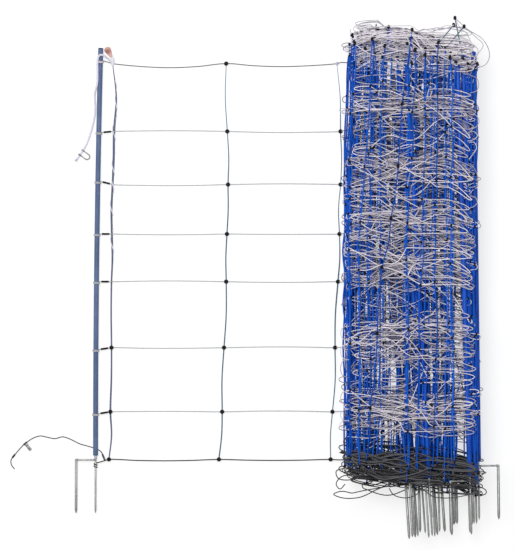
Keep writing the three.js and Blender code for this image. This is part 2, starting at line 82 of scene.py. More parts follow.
class Shader:
    """A material's nodes round its one Principled shader."""

    def __init__(self, name: str, roughness: float, metallic: float = 0.0) -> None:
        """Makes the material.

        Args:
            name: The material's name.
            roughness: The surface's even roughness.
            metallic: 1 for bare metal, 0 for the rest.
        """
        self.material = bpy.data.materials.new(name)
        self.material.use_nodes = True
        self.nodes = self.material.node_tree.nodes
        self.surface = self.nodes["Principled BSDF"]
        self.surface.inputs["Roughness"].default_value = roughness
        self.surface.inputs["Metallic"].default_value = metallic

    def link(self, source: Socket, target: Socket) -> None:
        """Joins an output to an input."""
        self.material.node_tree.links.new(source, target)

    def place(self, stretch: Point = (1.0, 1.0, 1.0)) -> Socket:
        """Gives the surface's own place, drawn out along an axis.

        Args:
            stretch: How much each axis is scaled before a pattern reads it.

        Returns:
            The socket with the place.
        """
        here = self.nodes.new("ShaderNodeTexCoord")
        mapping = self.nodes.new("ShaderNodeMapping")
        mapping.inputs["Scale"].default_value = stretch
        self.link(here.outputs["Object"], mapping.inputs["Vector"])
        return mapping.outputs["Vector"]

    def noise(self, place: Socket, scale: float, detail: float = 3.0) -> Socket:
        """Gives a cloudy pattern.

        Args:
            place: The socket with the place that the pattern reads.
            scale: How many clouds a metre holds.
            detail: How many finer layers it has.

        Returns:
            The socket with the pattern from 0 to 1.
        """
        noise = self.nodes.new("ShaderNodeTexNoise")
        noise.inputs["Scale"].default_value = scale
        noise.inputs["Detail"].default_value = detail
        self.link(place, noise.inputs["Vector"])
        return noise.outputs["Fac"]

    def cells(self, place: Socket, scale: float) -> Socket:
        """Gives the random tone of each crystal of a spangled coat.

        Args:
            place: The socket with the place that the pattern reads.
            scale: How many crystals a metre holds.

        Returns:
            The socket with the tone from 0 to 1.
        """
        cells = self.nodes.new("ShaderNodeTexVoronoi")
        cells.inputs["Scale"].default_value = scale
        self.link(place, cells.inputs["Vector"])
        return cells.outputs["Distance"]

    def math(self, kind: str, *values: Socket | float) -> Socket:
        """Works out one sum.

        Args:
            kind: The sum's name, such as ADD.
            values: What it is worked out from.

        Returns:
            The socket with the result.
        """
        node = self.nodes.new("ShaderNodeMath")
        node.operation = kind
        for slot, value in zip(node.inputs, values):
            if isinstance(value, Socket):
                self.link(value, slot)
            else:
                slot.default_value = value
        return node.outputs["Value"]

    def ramp(self, factor: Socket, stops: Sequence[tuple[float, Colour]]) -> Socket:
        """Turns a pattern into colours.

        Args:
            factor: The socket with the pattern.
            stops: Where each colour stands, from 0 to 1.

        Returns:
            The socket with the colour.
        """
        node = self.nodes.new("ShaderNodeValToRGB")
        elements = node.color_ramp.elements
        while len(elements) < len(stops):
            elements.new(0.5)
        for element, (stand, colour) in zip(elements, stops):
            element.position = stand
            element.color = (*colour, 1.0)
        self.link(factor, node.inputs["Fac"])
        return node.outputs["Color"]

    def blend(self, factor: Socket, low: Socket, high: Socket) -> Socket:
        """Mixes two colours.

        Args:
            factor: The socket with the share of the second colour.
            low: The socket with the first colour.
            high: The socket with the second colour.

        Returns:
            The socket with the mixed colour.
        """
        node = self.nodes.new("ShaderNodeMix")
        node.data_type = "RGBA"
        factor_slot, low_slot, high_slot = node.inputs[0], node.inputs[6], node.inputs[7]
        self.link(factor, factor_slot)
        self.link(low, low_slot)
        self.link(high, high_slot)
        return node.outputs[2]

    def lay(self, part: str) -> Socket:
        """Gives one of the numbers that a cord's mesh keeps for its winding.

        Args:
            part: X for the length from the cord's start, Y and Z for the way round it.

        Returns:
            The socket with the number.
        """
        kept = self.nodes.new("ShaderNodeAttribute")
        kept.attribute_name = "lay"
        split = self.nodes.new("ShaderNodeSeparateXYZ")
        self.link(kept.outputs["Vector"], split.inputs["Vector"])
        return split.outputs[part]

    def tone(self) -> Socket:
        """Gives the shade that the mesh keeps for each of its strands, from 0 to 1.

        Returns:
            The socket with the shade.
        """
        kept = self.nodes.new("ShaderNodeAttribute")
        kept.attribute_name = "tone"
        return kept.outputs["Fac"]

    def winding(self, pitch: float) -> Socket:
        """Gives the ridge and groove of a thread wound round a cord.

        Args:
            pitch: The length that one turn of the thread takes.

        Returns:
            The socket with the winding, from -1 to 1.
        """
        turned = self.math("MULTIPLY", self.lay("X"), FULL_TURN / pitch)
        across = self.math("MULTIPLY", self.math("SINE", turned), self.lay("Y"))
        return self.math("MULTIPLY_ADD", self.math("COSINE", turned), self.lay("Z"), across)

    def rise(self, height: Socket, depth: float) -> None:
        """Raises the surface by a pattern.

        Args:
            height: The socket with the pattern.
            depth: How high the pattern stands.
        """
        bump = self.nodes.new("ShaderNodeBump")
        bump.inputs["Distance"].default_value = depth
        bump.inputs["Strength"].default_value = 1.0
        self.link(height, bump.inputs["Height"])
        self.link(bump.outputs["Normal"], self.surface.inputs["Normal"])

    def paint(self, colour: Socket) -> None:
        """Gives the surface its colour."""
        self.link(colour, self.surface.inputs["Base Color"])


@dataclass(frozen=True)
class Extruded:
    """Plastic drawn out along the posts, with faint die lines and scuffs."""

    name: str
    light: Colour
    dark: Colour
    roughness: float
    specular: float = 0.25
    along: Point = (1.0, 0.02, 1.0)
    line_scale: float = 900.0
    line_share: float = 0.45
    line_depth: float = 0.00008
    cloud_scale: float = 18.0
    scuff_stretch: Point = (1.0, 0.12, 1.0)
    scuff_scale: float = 420.0
    scuff_detail: float = 6.0
    scuff_level: float = 0.66
    low: float = 0.36
    high: float = 0.62

    def material(self) -> bpy.types.Material:
        """Makes the material, with its lines running along Y.

        Returns:
            The material.
        """
        shader = Shader(self.name, self.roughness)
        shader.surface.inputs["Specular IOR Level"].default_value = self.specular
        lines = shader.noise(shader.place(self.along), self.line_scale)
        cloudy = shader.noise(shader.place(), self.cloud_scale)
        clouds = shader.math("MULTIPLY", cloudy, 1 - self.line_share)
        mixed = shader.math("MULTIPLY_ADD", lines, self.line_share, clouds)
        scuffs = shader.noise(shader.place(self.scuff_stretch), self.scuff_scale, self.scuff_detail)
        pale = tuple(min(1.0, 1.6 * value + 0.02) for value in self.light)
        base = shader.ramp(mixed, [(self.low, self.dark), (self.high, self.light)])
        worn = shader.ramp(scuffs, [(0.0, pale), (1.0, pale)])
        scuffed = shader.math("GREATER_THAN", scuffs, self.scuff_level)
        shader.paint(shader.blend(shader.math("MULTIPLY", scuffed, 0.5), base, worn))
        shader.rise(lines, self.line_depth)
        return shader.material


@dataclass(frozen=True)
class Moulded:
    """Plastic moulded in one piece, with a fine pebbled skin."""

    name: str
    light: Colour
    dark: Colour
    roughness: float
    specular: float = 0.12
    grain: float = 260.0
    low: float = 0.38
    high: float = 0.66
    pebble_scale: float = 2600.0
    pebble_depth: float = 0.0001

    def material(self) -> bpy.types.Material:
        """Makes the material.

        Returns:
            The material.
        """
        shader = Shader(self.name, self.roughness)
        shader.surface.inputs["Specular IOR Level"].default_value = self.specular
        clouds = shader.noise(shader.place(), self.grain)
        shader.paint(shader.ramp(clouds, [(self.low, self.dark), (self.high, self.light)]))
        shader.rise(shader.noise(shader.place(), self.pebble_scale), self.pebble_depth)
        return shader.material


@dataclass(frozen=True)
class Galvanised:
    """Zinc-coated steel: a spangled grey with darker stains and a relief of fine runs."""

    name: str
    light: Colour
    dark: Colour
    roughness: float
    metallic: float = 0.75
    spangle_scale: float = 420.0
    spangle_share: float = 0.45
    stain_stretch: Point = (1.0, 0.3, 1.0)
    stain_scale: float = 60.0
    stain_detail: float = 5.0
    stain_share: float = 0.7
    low: float = 0.3
    high: float = 0.72
    run_stretch: Point = (1.0, 0.2, 1.0)
    run_scale: float = 900.0
    run_depth: float = 0.00015

    def material(self) -> bpy.types.Material:
        """Makes the material.

        Returns:
            The material.
        """
        shader = Shader(self.name, self.roughness, self.metallic)
        spangle = shader.cells(shader.place(), self.spangle_scale)
        stains = shader.noise(shader.place(self.stain_stretch), self.stain_scale, self.stain_detail)
        stained = shader.math("MULTIPLY", stains, self.stain_share)
        mixed = shader.math("MULTIPLY_ADD", spangle, self.spangle_share, stained)
        shader.paint(shader.ramp(mixed, [(self.low, self.dark), (self.high, self.light)]))
        shader.rise(shader.noise(shader.place(self.run_stretch), self.run_scale), self.run_depth)
        return shader.material


@dataclass(frozen=True)
class Wound:
    """A cord of threads wound round each other, in two shades."""

    name: str
    light: Colour
    dark: Colour
    roughness: float
    pitch: float
    depth: float
    share: float = 0.5
    spread: float = 0.35
    reach: float = 0.25
    specular: float = 0.12
    soil_scale: float = 45.0
    soil_detail: float = 4.0
    soil_share: float = 0.3
    ridge_share: float = 0.25
    fibre_scale: float = 1400.0
    fibre_share: float = 0.2
    fibre_height: float = 0.3

    def material(self) -> bpy.types.Material:
        """Makes the material, whose shade also changes from strand to strand.

        Returns:
            The material.
        """
        shader = Shader(self.name, self.roughness)
        shader.surface.inputs["Specular IOR Level"].default_value = self.specular
        height = shader.math("MULTIPLY_ADD", shader.winding(self.pitch), 0.5, 0.5)
        soil = shader.noise(shader.place(), self.soil_scale, self.soil_detail)
        soiled = shader.math("MULTIPLY", soil, self.soil_share)
        fibres = shader.noise(shader.place(), self.fibre_scale, 2.0)
        shade = shader.math("MULTIPLY_ADD", shader.tone(), self.spread, soiled)
        shade = shader.math("MULTIPLY_ADD", height, self.ridge_share, shade)
        shade = shader.math("MULTIPLY_ADD", fibres, self.fibre_share, shade)
        low, high = self.share - self.reach, self.share + self.reach
        shader.paint(shader.ramp(shade, [(low, self.dark), (high, self.light)]))
        shader.rise(shader.math("MULTIPLY_ADD", fibres, self.fibre_height, height), self.depth)
        return shader.material


@dataclass(frozen=True)
class Faded:
    """Faded orange plastic, paler towards its edges and deeper in its middle."""

    name: str
    deep: Colour
    pale: Colour
    middle: Point
    reach: float
    roughness: float = 0.5
    glow: float = 0.15
    glow_reach: Colour = (0.004, 0.002, 0.001)
    cloud_scale: float = 240.0
    cloud_share: float = 0.4
    low: float = 0.45
    high: float = 1.1
    pebble_scale: float = 1900.0
    pebble_depth: float = 0.00012

    def material(self) -> bpy.types.Material:
        """Makes the material, shaded by how far a point lies from the middle.

        Returns:
            The material.
        """
        shader = Shader(self.name, self.roughness)
        shader.surface.inputs["Subsurface Weight"].default_value = self.glow
        shader.surface.inputs["Subsurface Radius"].default_value = self.glow_reach
        away = shader.nodes.new("ShaderNodeVectorMath")
        away.operation = "DISTANCE"
        away.inputs[1].default_value = self.middle
        shader.link(shader.place(), away.inputs[0])
        clouds = shader.noise(shader.place(), self.cloud_scale)
        share = shader.math("MULTIPLY", away.outputs["Value"], 1.0 / self.reach)
        mixed = shader.math("MULTIPLY_ADD", clouds, self.cloud_share, share)
        shader.paint(shader.ramp(mixed, [(self.low, self.deep), (self.high, self.pale)]))
        shader.rise(shader.noise(shader.place(), self.pebble_scale), self.pebble_depth)
        return shader.material


class Palette:
    """The finishes of the netting, each made into a material once."""

    # Painted light: the end post's greyer, paler blue is the same plastic as the bundle posts' deeper blue,
    # coloured as it looks in brighter light.
    end_post = Extruded("end_post_painted_lit_blue", (0.113, 0.162, 0.297), (0.075, 0.112, 0.222), 0.55)
    bundle_post = Extruded("bundle_post_blue", (0.004, 0.095, 0.60), (0.002, 0.050, 0.36), 0.42)
    black = Moulded("black_plastic", (0.014, 0.014, 0.016), (0.005, 0.005, 0.006), 0.55)
    neck = Moulded("pale_sleeve", (0.62, 0.60, 0.74), (0.48, 0.46, 0.58), 0.5)
    steel = Galvanised("galvanised_steel", (0.46, 0.47, 0.46), (0.14, 0.145, 0.145), 0.45)
    shackle = Galvanised("shackle_steel", (0.36, 0.36, 0.36), (0.10, 0.10, 0.105), 0.42)
    rope = Wound("rope_braid", (0.80, 0.77, 0.88), (0.56, 0.54, 0.66), 0.85, 0.006, 0.0005)
    lead = Wound("lead_wire", (0.03, 0.03, 0.03), (0.008, 0.008, 0.009), 0.6, 0.003, 0.0002)
    # The folded polywire's near-black end is reached mostly through the painted shade that darkens folds
    # deep in the pile.
    polywire = Wound("polywire", (1.0, 0.94, 1.0), (0.14, 0.13, 0.19), 0.75, 0.0035, 0.00035, 0.66, 0.6)
    open_wire = Wound("open_polywire", (0.56, 0.565, 0.57), (0.35, 0.355, 0.355), 0.75, 0.0035, 0.00035)
    dark_wire = Wound("dark_polywire", (0.20, 0.205, 0.185), (0.08, 0.085, 0.078), 0.75, 0.0035, 0.00035)
    base_cord = Wound("base_cord", (0.135, 0.135, 0.147),
                      (0.006, 0.006, 0.007), 0.6, 0.005, 0.0004, 0.66, 0.6)
    twine = Wound("grey_blue_twine", (0.17, 0.26, 0.34), (0.012, 0.045, 0.078), 0.75, 0.004, 0.0004)
    purple_twine = Wound("purple_twine", (0.18, 0.20, 0.31), (0.032, 0.058, 0.110), 0.75, 0.004, 0.0004)
    # The folded blue twine's darker end is reached mostly through the painted shade that darkens twines
    # deep in the pile.
    blue_twine = Wound("blue_twine", (0.008, 0.15, 0.80), (0.003, 0.045, 0.32), 0.6, 0.004, 0.0003)
    string = Wound("white_string", (0.86, 0.83, 0.92), (0.62, 0.60, 0.72), 0.85, 0.003, 0.0002)
    clip = Faded("faded_orange", (0.30, 0.075, 0.055), (0.62, 0.40, 0.34), (-0.4890, 0.6290, 0.006), 0.015)

    def __init__(self) -> None:
        """Starts with no material made."""
        self._made: dict[str, bpy.types.Material] = {}

    def material(self, finish: Extruded | Moulded | Galvanised | Wound | Faded) -> bpy.types.Material:
        """Gives a finish's material.

        Args:
            finish: The finish.

        Returns:
            Its material, made on the first call.
        """
        if finish.name not in self._made:
            self._made[finish.name] = finish.material()
        return self._made[finish.name]


class Weaver:
    """Collects tubes and turned bodies, and makes one mesh of them."""

    def __init__(self, name: str) -> None:
        """Starts an empty mesh.

        Args:
            name: The name of the object that it becomes.
        """
        self.name = name
        self.vertices: list[np.ndarray] = []
        self.lays: list[np.ndarray] = []
        self.tones: list[np.ndarray] = []
        self.faces: list[list[int]] = []
        self.count = 0

    def skin(self, rings: np.ndarray, lays: np.ndarray, tone: float | np.ndarray) -> None:
        """Adds rings of points and the faces between them, closed at both ends.

        Args:
            rings: The points, one ring after the other.
            lays: What each point keeps for its winding.
            tone: The shade of the whole tube, or one for each ring.
        """
        steps, sides, _ = rings.shape
        index = self.count + np.arange(steps * sides).reshape(steps, sides)
        here, ahead = index[:-1], index[1:]
        quads = np.stack([here, np.roll(here, -1, 1), np.roll(ahead, -1, 1), ahead], axis=-1)
        self.faces.extend(quads.reshape(-1, 4).tolist())
        self.faces.append(index[0][::-1].tolist())
        self.faces.append(index[-1].tolist())
        self.vertices.append(rings.reshape(-1, 3))
        self.lays.append(lays.reshape(-1, 3))
        tones = np.asarray(tone, float).reshape(-1, 1)
        self.tones.append(np.broadcast_to(tones, (steps, sides)).reshape(-1))
        self.count += steps * sides

    def tube(self, points: np.ndarray, radius: float | np.ndarray, sides: int = 8,
             tone: float | np.ndarray = 0.5, up: Point = (0.0, 0.0, 1.0)) -> "Weaver":
        """Adds a tube along a line of points.

        Args:
            points: The line.
            radius: The tube's radius, or one for each point.
            sides: How many sides it has.
            tone: Its shade, or one for each point.
            up: A direction that the line never runs in.

        Returns:
            The weaver itself.
        """
        points = np.asarray(points, float)
        ahead = np.gradient(points, axis=0)
        ahead /= np.linalg.norm(ahead, axis=1, keepdims=True)
        across = np.cross(ahead, np.asarray(up))
        across /= np.linalg.norm(across, axis=1, keepdims=True)
        above = np.cross(across, ahead)
        angle = FULL_TURN * np.arange(sides) / sides
        cos, sin = (part[None, :, None] for part in (np.cos(angle), np.sin(angle)))
        spoke = across[:, None] * cos + above[:, None] * sin
        reach = np.broadcast_to(np.asarray(radius, float).reshape(-1, 1, 1), (len(points), 1, 1))
        rings = points[:, None] + spoke * reach
        run = np.concatenate([[0.0], np.cumsum(np.linalg.norm(np.diff(points, axis=0), axis=1))])
        lays = np.empty(rings.shape)
        lays[..., 0] = run[:, None]
        lays[..., 1] = np.cos(angle)[None]
        lays[..., 2] = np.sin(angle)[None]
        self.skin(rings[:, ::-1], lays[:, ::-1], tone)
        return self

    def turned(self, outline: Outline, place: Matrix, sides: int = 16,
               bend: Callable[[np.ndarray], np.ndarray] | None = None) -> "Weaver":
        """Adds a round body about its own Y axis.

        Args:
            outline: Its radius and height at each ring, from one end to the other.
            place: Where the body goes.
            sides: How many sides it has.
            bend: What moves its points once they are in place.

        Returns:
            The weaver itself.
        """
        profile = np.asarray(outline, float)
        angle = FULL_TURN * np.arange(sides) / sides
        rings = np.empty((len(profile), sides, 3))
        rings[..., 0] = profile[:, :1] * np.cos(angle)[None]
        rings[..., 1] = profile[:, 1:]
        rings[..., 2] = profile[:, :1] * np.sin(angle)[None]
        turn = np.array(place)
        rings = rings @ turn[:3, :3].T + turn[:3, 3]
        if bend is not None:
            rings = bend(rings)
        lays = np.empty(rings.shape)
        lays[..., 0] = profile[:, 1:]
        lays[..., 1] = np.cos(angle)[None]
        lays[..., 2] = np.sin(angle)[None]
        self.skin(rings[:, ::-1], lays[:, ::-1], 0.5)
        return self

    def build(self, material: bpy.types.Material, slot: str) -> bpy.types.Object:
        """Makes the object, which rides on the netting's one body.

        Args:
            material: Its material.
            slot: The record's material slot; not used.

        Returns:
            The object.
        """
        mesh = bpy.data.meshes.new(self.name)
        mesh.from_pydata(np.concatenate(self.vertices).tolist(), [], self.faces)
        mesh.polygons.foreach_set("use_smooth", np.ones(len(mesh.polygons), bool))
        lay = mesh.attributes.new("lay", "FLOAT_VECTOR", "POINT")
        lay.data.foreach_set("vector", np.concatenate(self.lays).ravel())
        tone = mesh.attributes.new("tone", "FLOAT", "POINT")
        tone.data.foreach_set("value", np.concatenate(self.tones))
        mesh.materials.append(material)
        piece = bpy.data.objects.new(self.name, mesh)
        bpy.context.scene.collection.objects.link(piece)
        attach(piece, ROOT)
        return piece


def spline(points: Sequence[Point] | np.ndarray, steps: int) -> np.ndarray:
    """Gives a smooth line through some points, as long as the chords between them ask.

    Args:
        points: The points, from the first to the last.
        steps: How many steps lie between each two of them.

    Returns:
        The line's points.
    """
    points = np.asarray(points, float)
    padded = np.vstack([2 * points[0] - points[1], points, 2 * points[-1] - points[-2]])
    a, b, c, d = padded[:-3], padded[1:-2], padded[2:-1], padded[3:]
    knots = [np.zeros(len(a))]
    for start, end in ((a, b), (b, c), (c, d)):
        knots.append(knots[-1] + np.sqrt(np.maximum(np.linalg.norm(end - start, axis=1), SMALLEST)))
    t0, t1, t2, t3 = (knot[:, None, None] for knot in knots)
    share = (np.arange(steps) / steps)[None, :, None]
    t = t1 + (t2 - t1) * share
    a, b, c, d = (corner[:, None] for corner in (a, b, c, d))
    ab = (t1 - t) / (t1 - t0) * a + (t - t0) / (t1 - t0) * b
    bc = (t2 - t) / (t2 - t1) * b + (t - t1) / (t2 - t1) * c
    cd = (t3 - t) / (t3 - t2) * c + (t - t2) / (t3 - t2) * d
    abc = (t2 - t) / (t2 - t0) * ab + (t - t0) / (t2 - t0) * bc
    bcd = (t3 - t) / (t3 - t1) * bc + (t - t1) / (t3 - t1) * cd
    line = (t2 - t) / (t2 - t1) * abc + (t - t1) / (t2 - t1) * bcd
    return np.vstack([line.reshape(-1, 3), points[-1:]])


def length_of(line: np.ndarray) -> float:
    """Gives the length of a line of points."""
    return float(np.linalg.norm(np.diff(line, axis=0), axis=1).sum())


def along(start: Point, end: Point) -> Matrix:
    """Gives the place of a body built along +Y when its axis is laid between two points."""
    turn = Vector((0.0, 1.0, 0.0)).rotation_difference(Vector(end) - Vector(start))
    return Matrix.Translation(Vector(start)) @ turn.to_matrix().to_4x4()


def turned_about_z(place: Point, degrees: float) -> Matrix:
    """Gives a place on the floor plane, turned by an angle."""
    return Matrix.Translation(Vector(place)) @ Matrix.Rotation(math.radians(degrees), 4, "Z")


def helix(centre: Point, radius: float, pitch: float, turns: float) -> np.ndarray:
    """Gives the line of a cord wound round an axis that runs along Y.

    Args:
        centre: The middle of the winding.
        radius: The radius of the cord's own line.
        pitch: The length that one turn takes.
        turns: How many turns it has.

    Returns:
        The line's points, from its lower end up.
    """
    share = np.linspace(0.0, 1.0, round(turns * STEPS_A_TURN) + 1)
    angle = FULL_TURN * turns * share
    height = centre[1] + pitch * turns * (share - 0.5)
    return np.column_stack([centre[0] + radius * np.cos(angle), height, centre[2] + radius * np.sin(angle)])


@dataclass(frozen=True)
class NetLayout:
    """Where the rows, the uprights and the end post lie: the same sizes as the solids have."""

    row_heights: tuple[float, ...] = (0.130, 0.175, 0.180, 0.130, 0.135, 0.145, 0.185)
    base_row_y: float = -0.484
    mesh_width: float = 0.308
    strand_diameter: float = 0.0026
    base_strand_diameter: float = 0.0030
    twine_diameter: float = 0.0024
    twine_floor_gap: float = 0.0004
    knot_width: float = 0.0096
    knot_length: float = 0.011
    sway: tuple[tuple[float, ...], ...] = (
        (-0.007, -0.003, 0.0, 0.0, 0.001, 0.003, 0.007, 0.003),
        (-0.015, -0.006, -0.001, 0.005, 0.007, 0.010, 0.008, 0.005),
        (-0.018, -0.013, -0.006, 0.002, 0.006, 0.009, 0.009, -0.001),
    )
    bulge: tuple[tuple[float, ...], ...] = (
        (0.005, 0.001, -0.001, 0.002, -0.002, 0.001, 0.008),
        (0.003, -0.003, 0.003, -0.002, 0.002, 0.003, -0.004),
        (-0.003, 0.004, -0.003, 0.003, -0.004, 0.003, 0.004),
    )
    sag: tuple[tuple[float, ...], ...] = (
        (-0.004, -0.003, -0.001),
        (0.001, 0.002, 0.001),
        (-0.002, 0.002, 0.001),
        (0.002, -0.002, -0.001),
        (-0.002, -0.001, 0.001),
        (-0.003, 0.002, -0.001),
        (0.002, -0.003, 0.002),
        (-0.011, -0.008, 0.003),
    )
    sag_points: tuple[float, ...] = (0.25, 0.5, 0.75)
    sag_lift: float = 0.0008
    tie_rise: tuple[float, ...] = (-0.009, -0.005, -0.005, 0.0, 0.0, 0.008, -0.003, 0.007)
    post_diameter: float = 0.014
    post_bore: float = 0.010
    post_z: float = 0.0101
    post_length: float = 1.109
    post_below_base_row: float = -0.011
    end_post_x: float = -0.522
    end_post_lean: float = 0.014
    end_post_bow: float = 0.0037
    post_to_upright: float = 0.043
    stem_diameter: float = 0.0054
    bundle_gap: float = 0.016
    bundle_half_width: float = 0.187
    fold_pitch: float = 0.0185
    fold_depth: float = 0.007
    strand_entry: float = 0.020
    top_tie_z: float = 0.006
    top_tie_rise: float = 0.006

    @property
    def rows(self) -> list[float]:
        """How far up each strand lies, from the base strand to the top one."""
        return [self.base_row_y + sum(self.row_heights[:row]) for row in range(len(self.row_heights) + 1)]

    @property
    def top_row(self) -> int:
        """The number of the top strand's row."""
        return len(self.row_heights)

    @property
    def tube_bottom(self) -> float:
        """How far up the posts' tubes start."""
        return self.base_row_y - self.post_below_base_row

    @property
    def bundle_x(self) -> float:
        """The middle of the bundle."""
        first = self.end_post_x + self.post_to_upright
        return first + 2 * self.mesh_width + self.bundle_gap + self.bundle_half_width

    def end_post_axis(self, y: float | np.ndarray) -> float | np.ndarray:
        """Gives the end post's axis at a height, which leans to one side and bows to the other."""
        share = (y - self.tube_bottom) / self.post_length
        return self.end_post_x + self.end_post_lean * share - 4 * self.end_post_bow * share * (1 - share)

    def strand_radius(self, row: int) -> float:
        """Gives the radius of a row's strand."""
        return (self.base_strand_diameter if row == 0 else self.strand_diameter) / 2

    def split(self, row: int) -> float:
        """Gives how far the strand and the twine lie from the middle of their knot."""
        return (self.strand_radius(row) + self.twine_diameter / 2 + 2 * GAP) / 2

    def crossing(self, column: int, row: int, lift: float = 0.0) -> np.ndarray:
        """Gives the middle of a knot, or a point over it.

        Args:
            column: The upright's number.
            row: The strand's number.
            lift: How far over the middle of the knot the point lies.

        Returns:
            The point.
        """
        x = self.end_post_x + self.post_to_upright + column * self.mesh_width + self.sway[column][row]
        return np.array([x, self.rows[row], self.knot_width / 2 + lift])

    def tie(self, row: int) -> tuple[np.ndarray, float]:
        """Gives the middle of a strand's tie on the end post, and the radius of its line.

        Args:
            row: The strand's row, from 0 at the base.

        Returns:
            The tie's middle and its radius.
        """
        y = self.rows[row] + self.tie_rise[row]
        core = (self.stem_diameter if row == 0 else self.post_diameter) / 2
        x = self.end_post_x if row == 0 else self.end_post_axis(y)
        return np.array([x, y, self.post_z]), core + GAP + self.strand_radius(row)

    def strand(self, row: int) -> np.ndarray:
        """Gives a strand's points from its tie, past the three uprights and into its pile.

        Args:
            row: The strand's row.

        Returns:
            The points, from the end post on.
        """
        centre, reach = self.tie(row)
        start = centre + np.array([reach, 0.0, 0.0])
        low = self.strand_radius(row) + self.twine_floor_gap
        crossings = [self.crossing(column, row, self.split(row)) for column in range(3)]
        if row == self.top_row:
            crossings[0][2] = self.top_tie_z
        points = [start, start + (crossings[0] - start) / 3, start + (crossings[0] - start) * 2 / 3]
        for column in range(2):
            here, ahead = crossings[column], crossings[column + 1]
            points.append(here)
            for share in self.sag_points:
                middle = here + (ahead - here) * share
                middle[1] += self.sag[row][column] * math.sin(math.pi * share)
                middle[2] = low + (0.0 if share == 0.5 else self.sag_lift)
                points.append(middle)
        points.append(crossings[2])
        entry = self.bundle_x - self.bundle_half_width + self.fold_depth
        height = self.fold_pitch / 2
        points.append(np.array([(crossings[2][0] + entry) / 2, self.rows[row] + self.sag[row][2], height]))
        points.append(np.array([entry + self.strand_entry, self.rows[row], height]))
        return np.array(points)

    def upright(self, column: int) -> np.ndarray:
        """Gives the points of an upright's twine through its knots, sagging between them.

        Args:
            column: The upright's number, from 0 beside the end post.

        Returns:
            The points, from the base strand up.
        """
        points = []
        for row in range(self.top_row + 1):
            points.append(self.crossing(column, row, -self.split(row)))
            if row == self.top_row:
                break
            middle = (self.crossing(column, row) + self.crossing(column, row + 1)) / 2
            middle[0] += self.bulge[column][row]
            middle[2] = self.twine_diameter / 2 + self.twine_floor_gap
            points.append(middle)
        return np.array(points)


@dataclass
class Studio:
    """The camera over the netting, the pale floor and the even light."""

    distance: float = 9.5
    centre: Point = (-0.0819, 0.0191, 0.0)
    view_height: float = 1.5015
    sensor: float = 36.0
    floor_size: float = 40.0
    floor_drop: float = 0.0004
    floor_scale: float = 3.0
    floor_low: Colour = (0.34, 0.34, 0.34)
    floor_high: Colour = (0.36, 0.36, 0.36)
    floor_glow: float = 0.70
    farthest: float = 100.0
    sky: float = 0.40
    key_power: float = 190.0
    key_size: float = 3.0
    key_place: Point = (-1.0, 1.3, 4.8)

    def camera(self) -> None:
        """Hangs the camera straight over the netting, as the photograph was taken."""
        data = bpy.data.cameras.new("camera")
        data.sensor_width = self.sensor
        data.lens = self.sensor * self.distance / self.view_height
        data.clip_end = self.farthest
        camera = bpy.data.objects.new("camera", data)
        camera.location = (self.centre[0], self.centre[1], self.distance)
        bpy.context.scene.collection.objects.link(camera)
        bpy.context.scene.camera = camera

    def floor(self) -> None:
        """Lays the floor, which glows a little so that it stays pale under the netting."""
        half = self.floor_size / 2
        mesh = bpy.data.meshes.new("floor")
        corners = ((-half, -half), (half, -half), (half, half), (-half, half))
        mesh.from_pydata([(x, y, -self.floor_drop) for x, y in corners], [], [(0, 1, 2, 3)])
        shader = Shader("floor_paper", 0.9)
        clouds = shader.noise(shader.place(), self.floor_scale)
        shader.paint(shader.ramp(clouds, [(0.3, self.floor_low), (0.7, self.floor_high)]))
        shader.surface.inputs["Emission Color"].default_value = (1.0, 1.0, 1.0, 1.0)
        shader.surface.inputs["Emission Strength"].default_value = self.floor_glow
        shader.surface.inputs["Specular IOR Level"].default_value = 0.0
        mesh.materials.append(shader.material)
        floor = bpy.data.objects.new("floor", mesh)
        bpy.context.scene.collection.objects.link(floor)

    def light(self) -> None:
        """Lights the netting with a bright sky and one large soft lamp at the upper left."""
        world = bpy.data.worlds.new("studio_sky")
        world.use_nodes = True
        background = world.node_tree.nodes["Background"]
        background.inputs["Color"].default_value = (1.0, 1.0, 1.0, 1.0)
        background.inputs["Strength"].default_value = self.sky
        bpy.context.scene.world = world
        data = bpy.data.lights.new("key", "AREA")
        data.shape = "SQUARE"
        data.size = self.key_size
        data.energy = self.key_power
        key = bpy.data.objects.new("key", data)
        key.location = self.key_place
        key.rotation_euler = (Vector((0.0, 0.0, 0.0)) - key.location).to_track_quat("-Z", "Y").to_euler()
        bpy.context.scene.collection.objects.link(key)
        bpy.context.scene.view_settings.view_transform = "Standard"


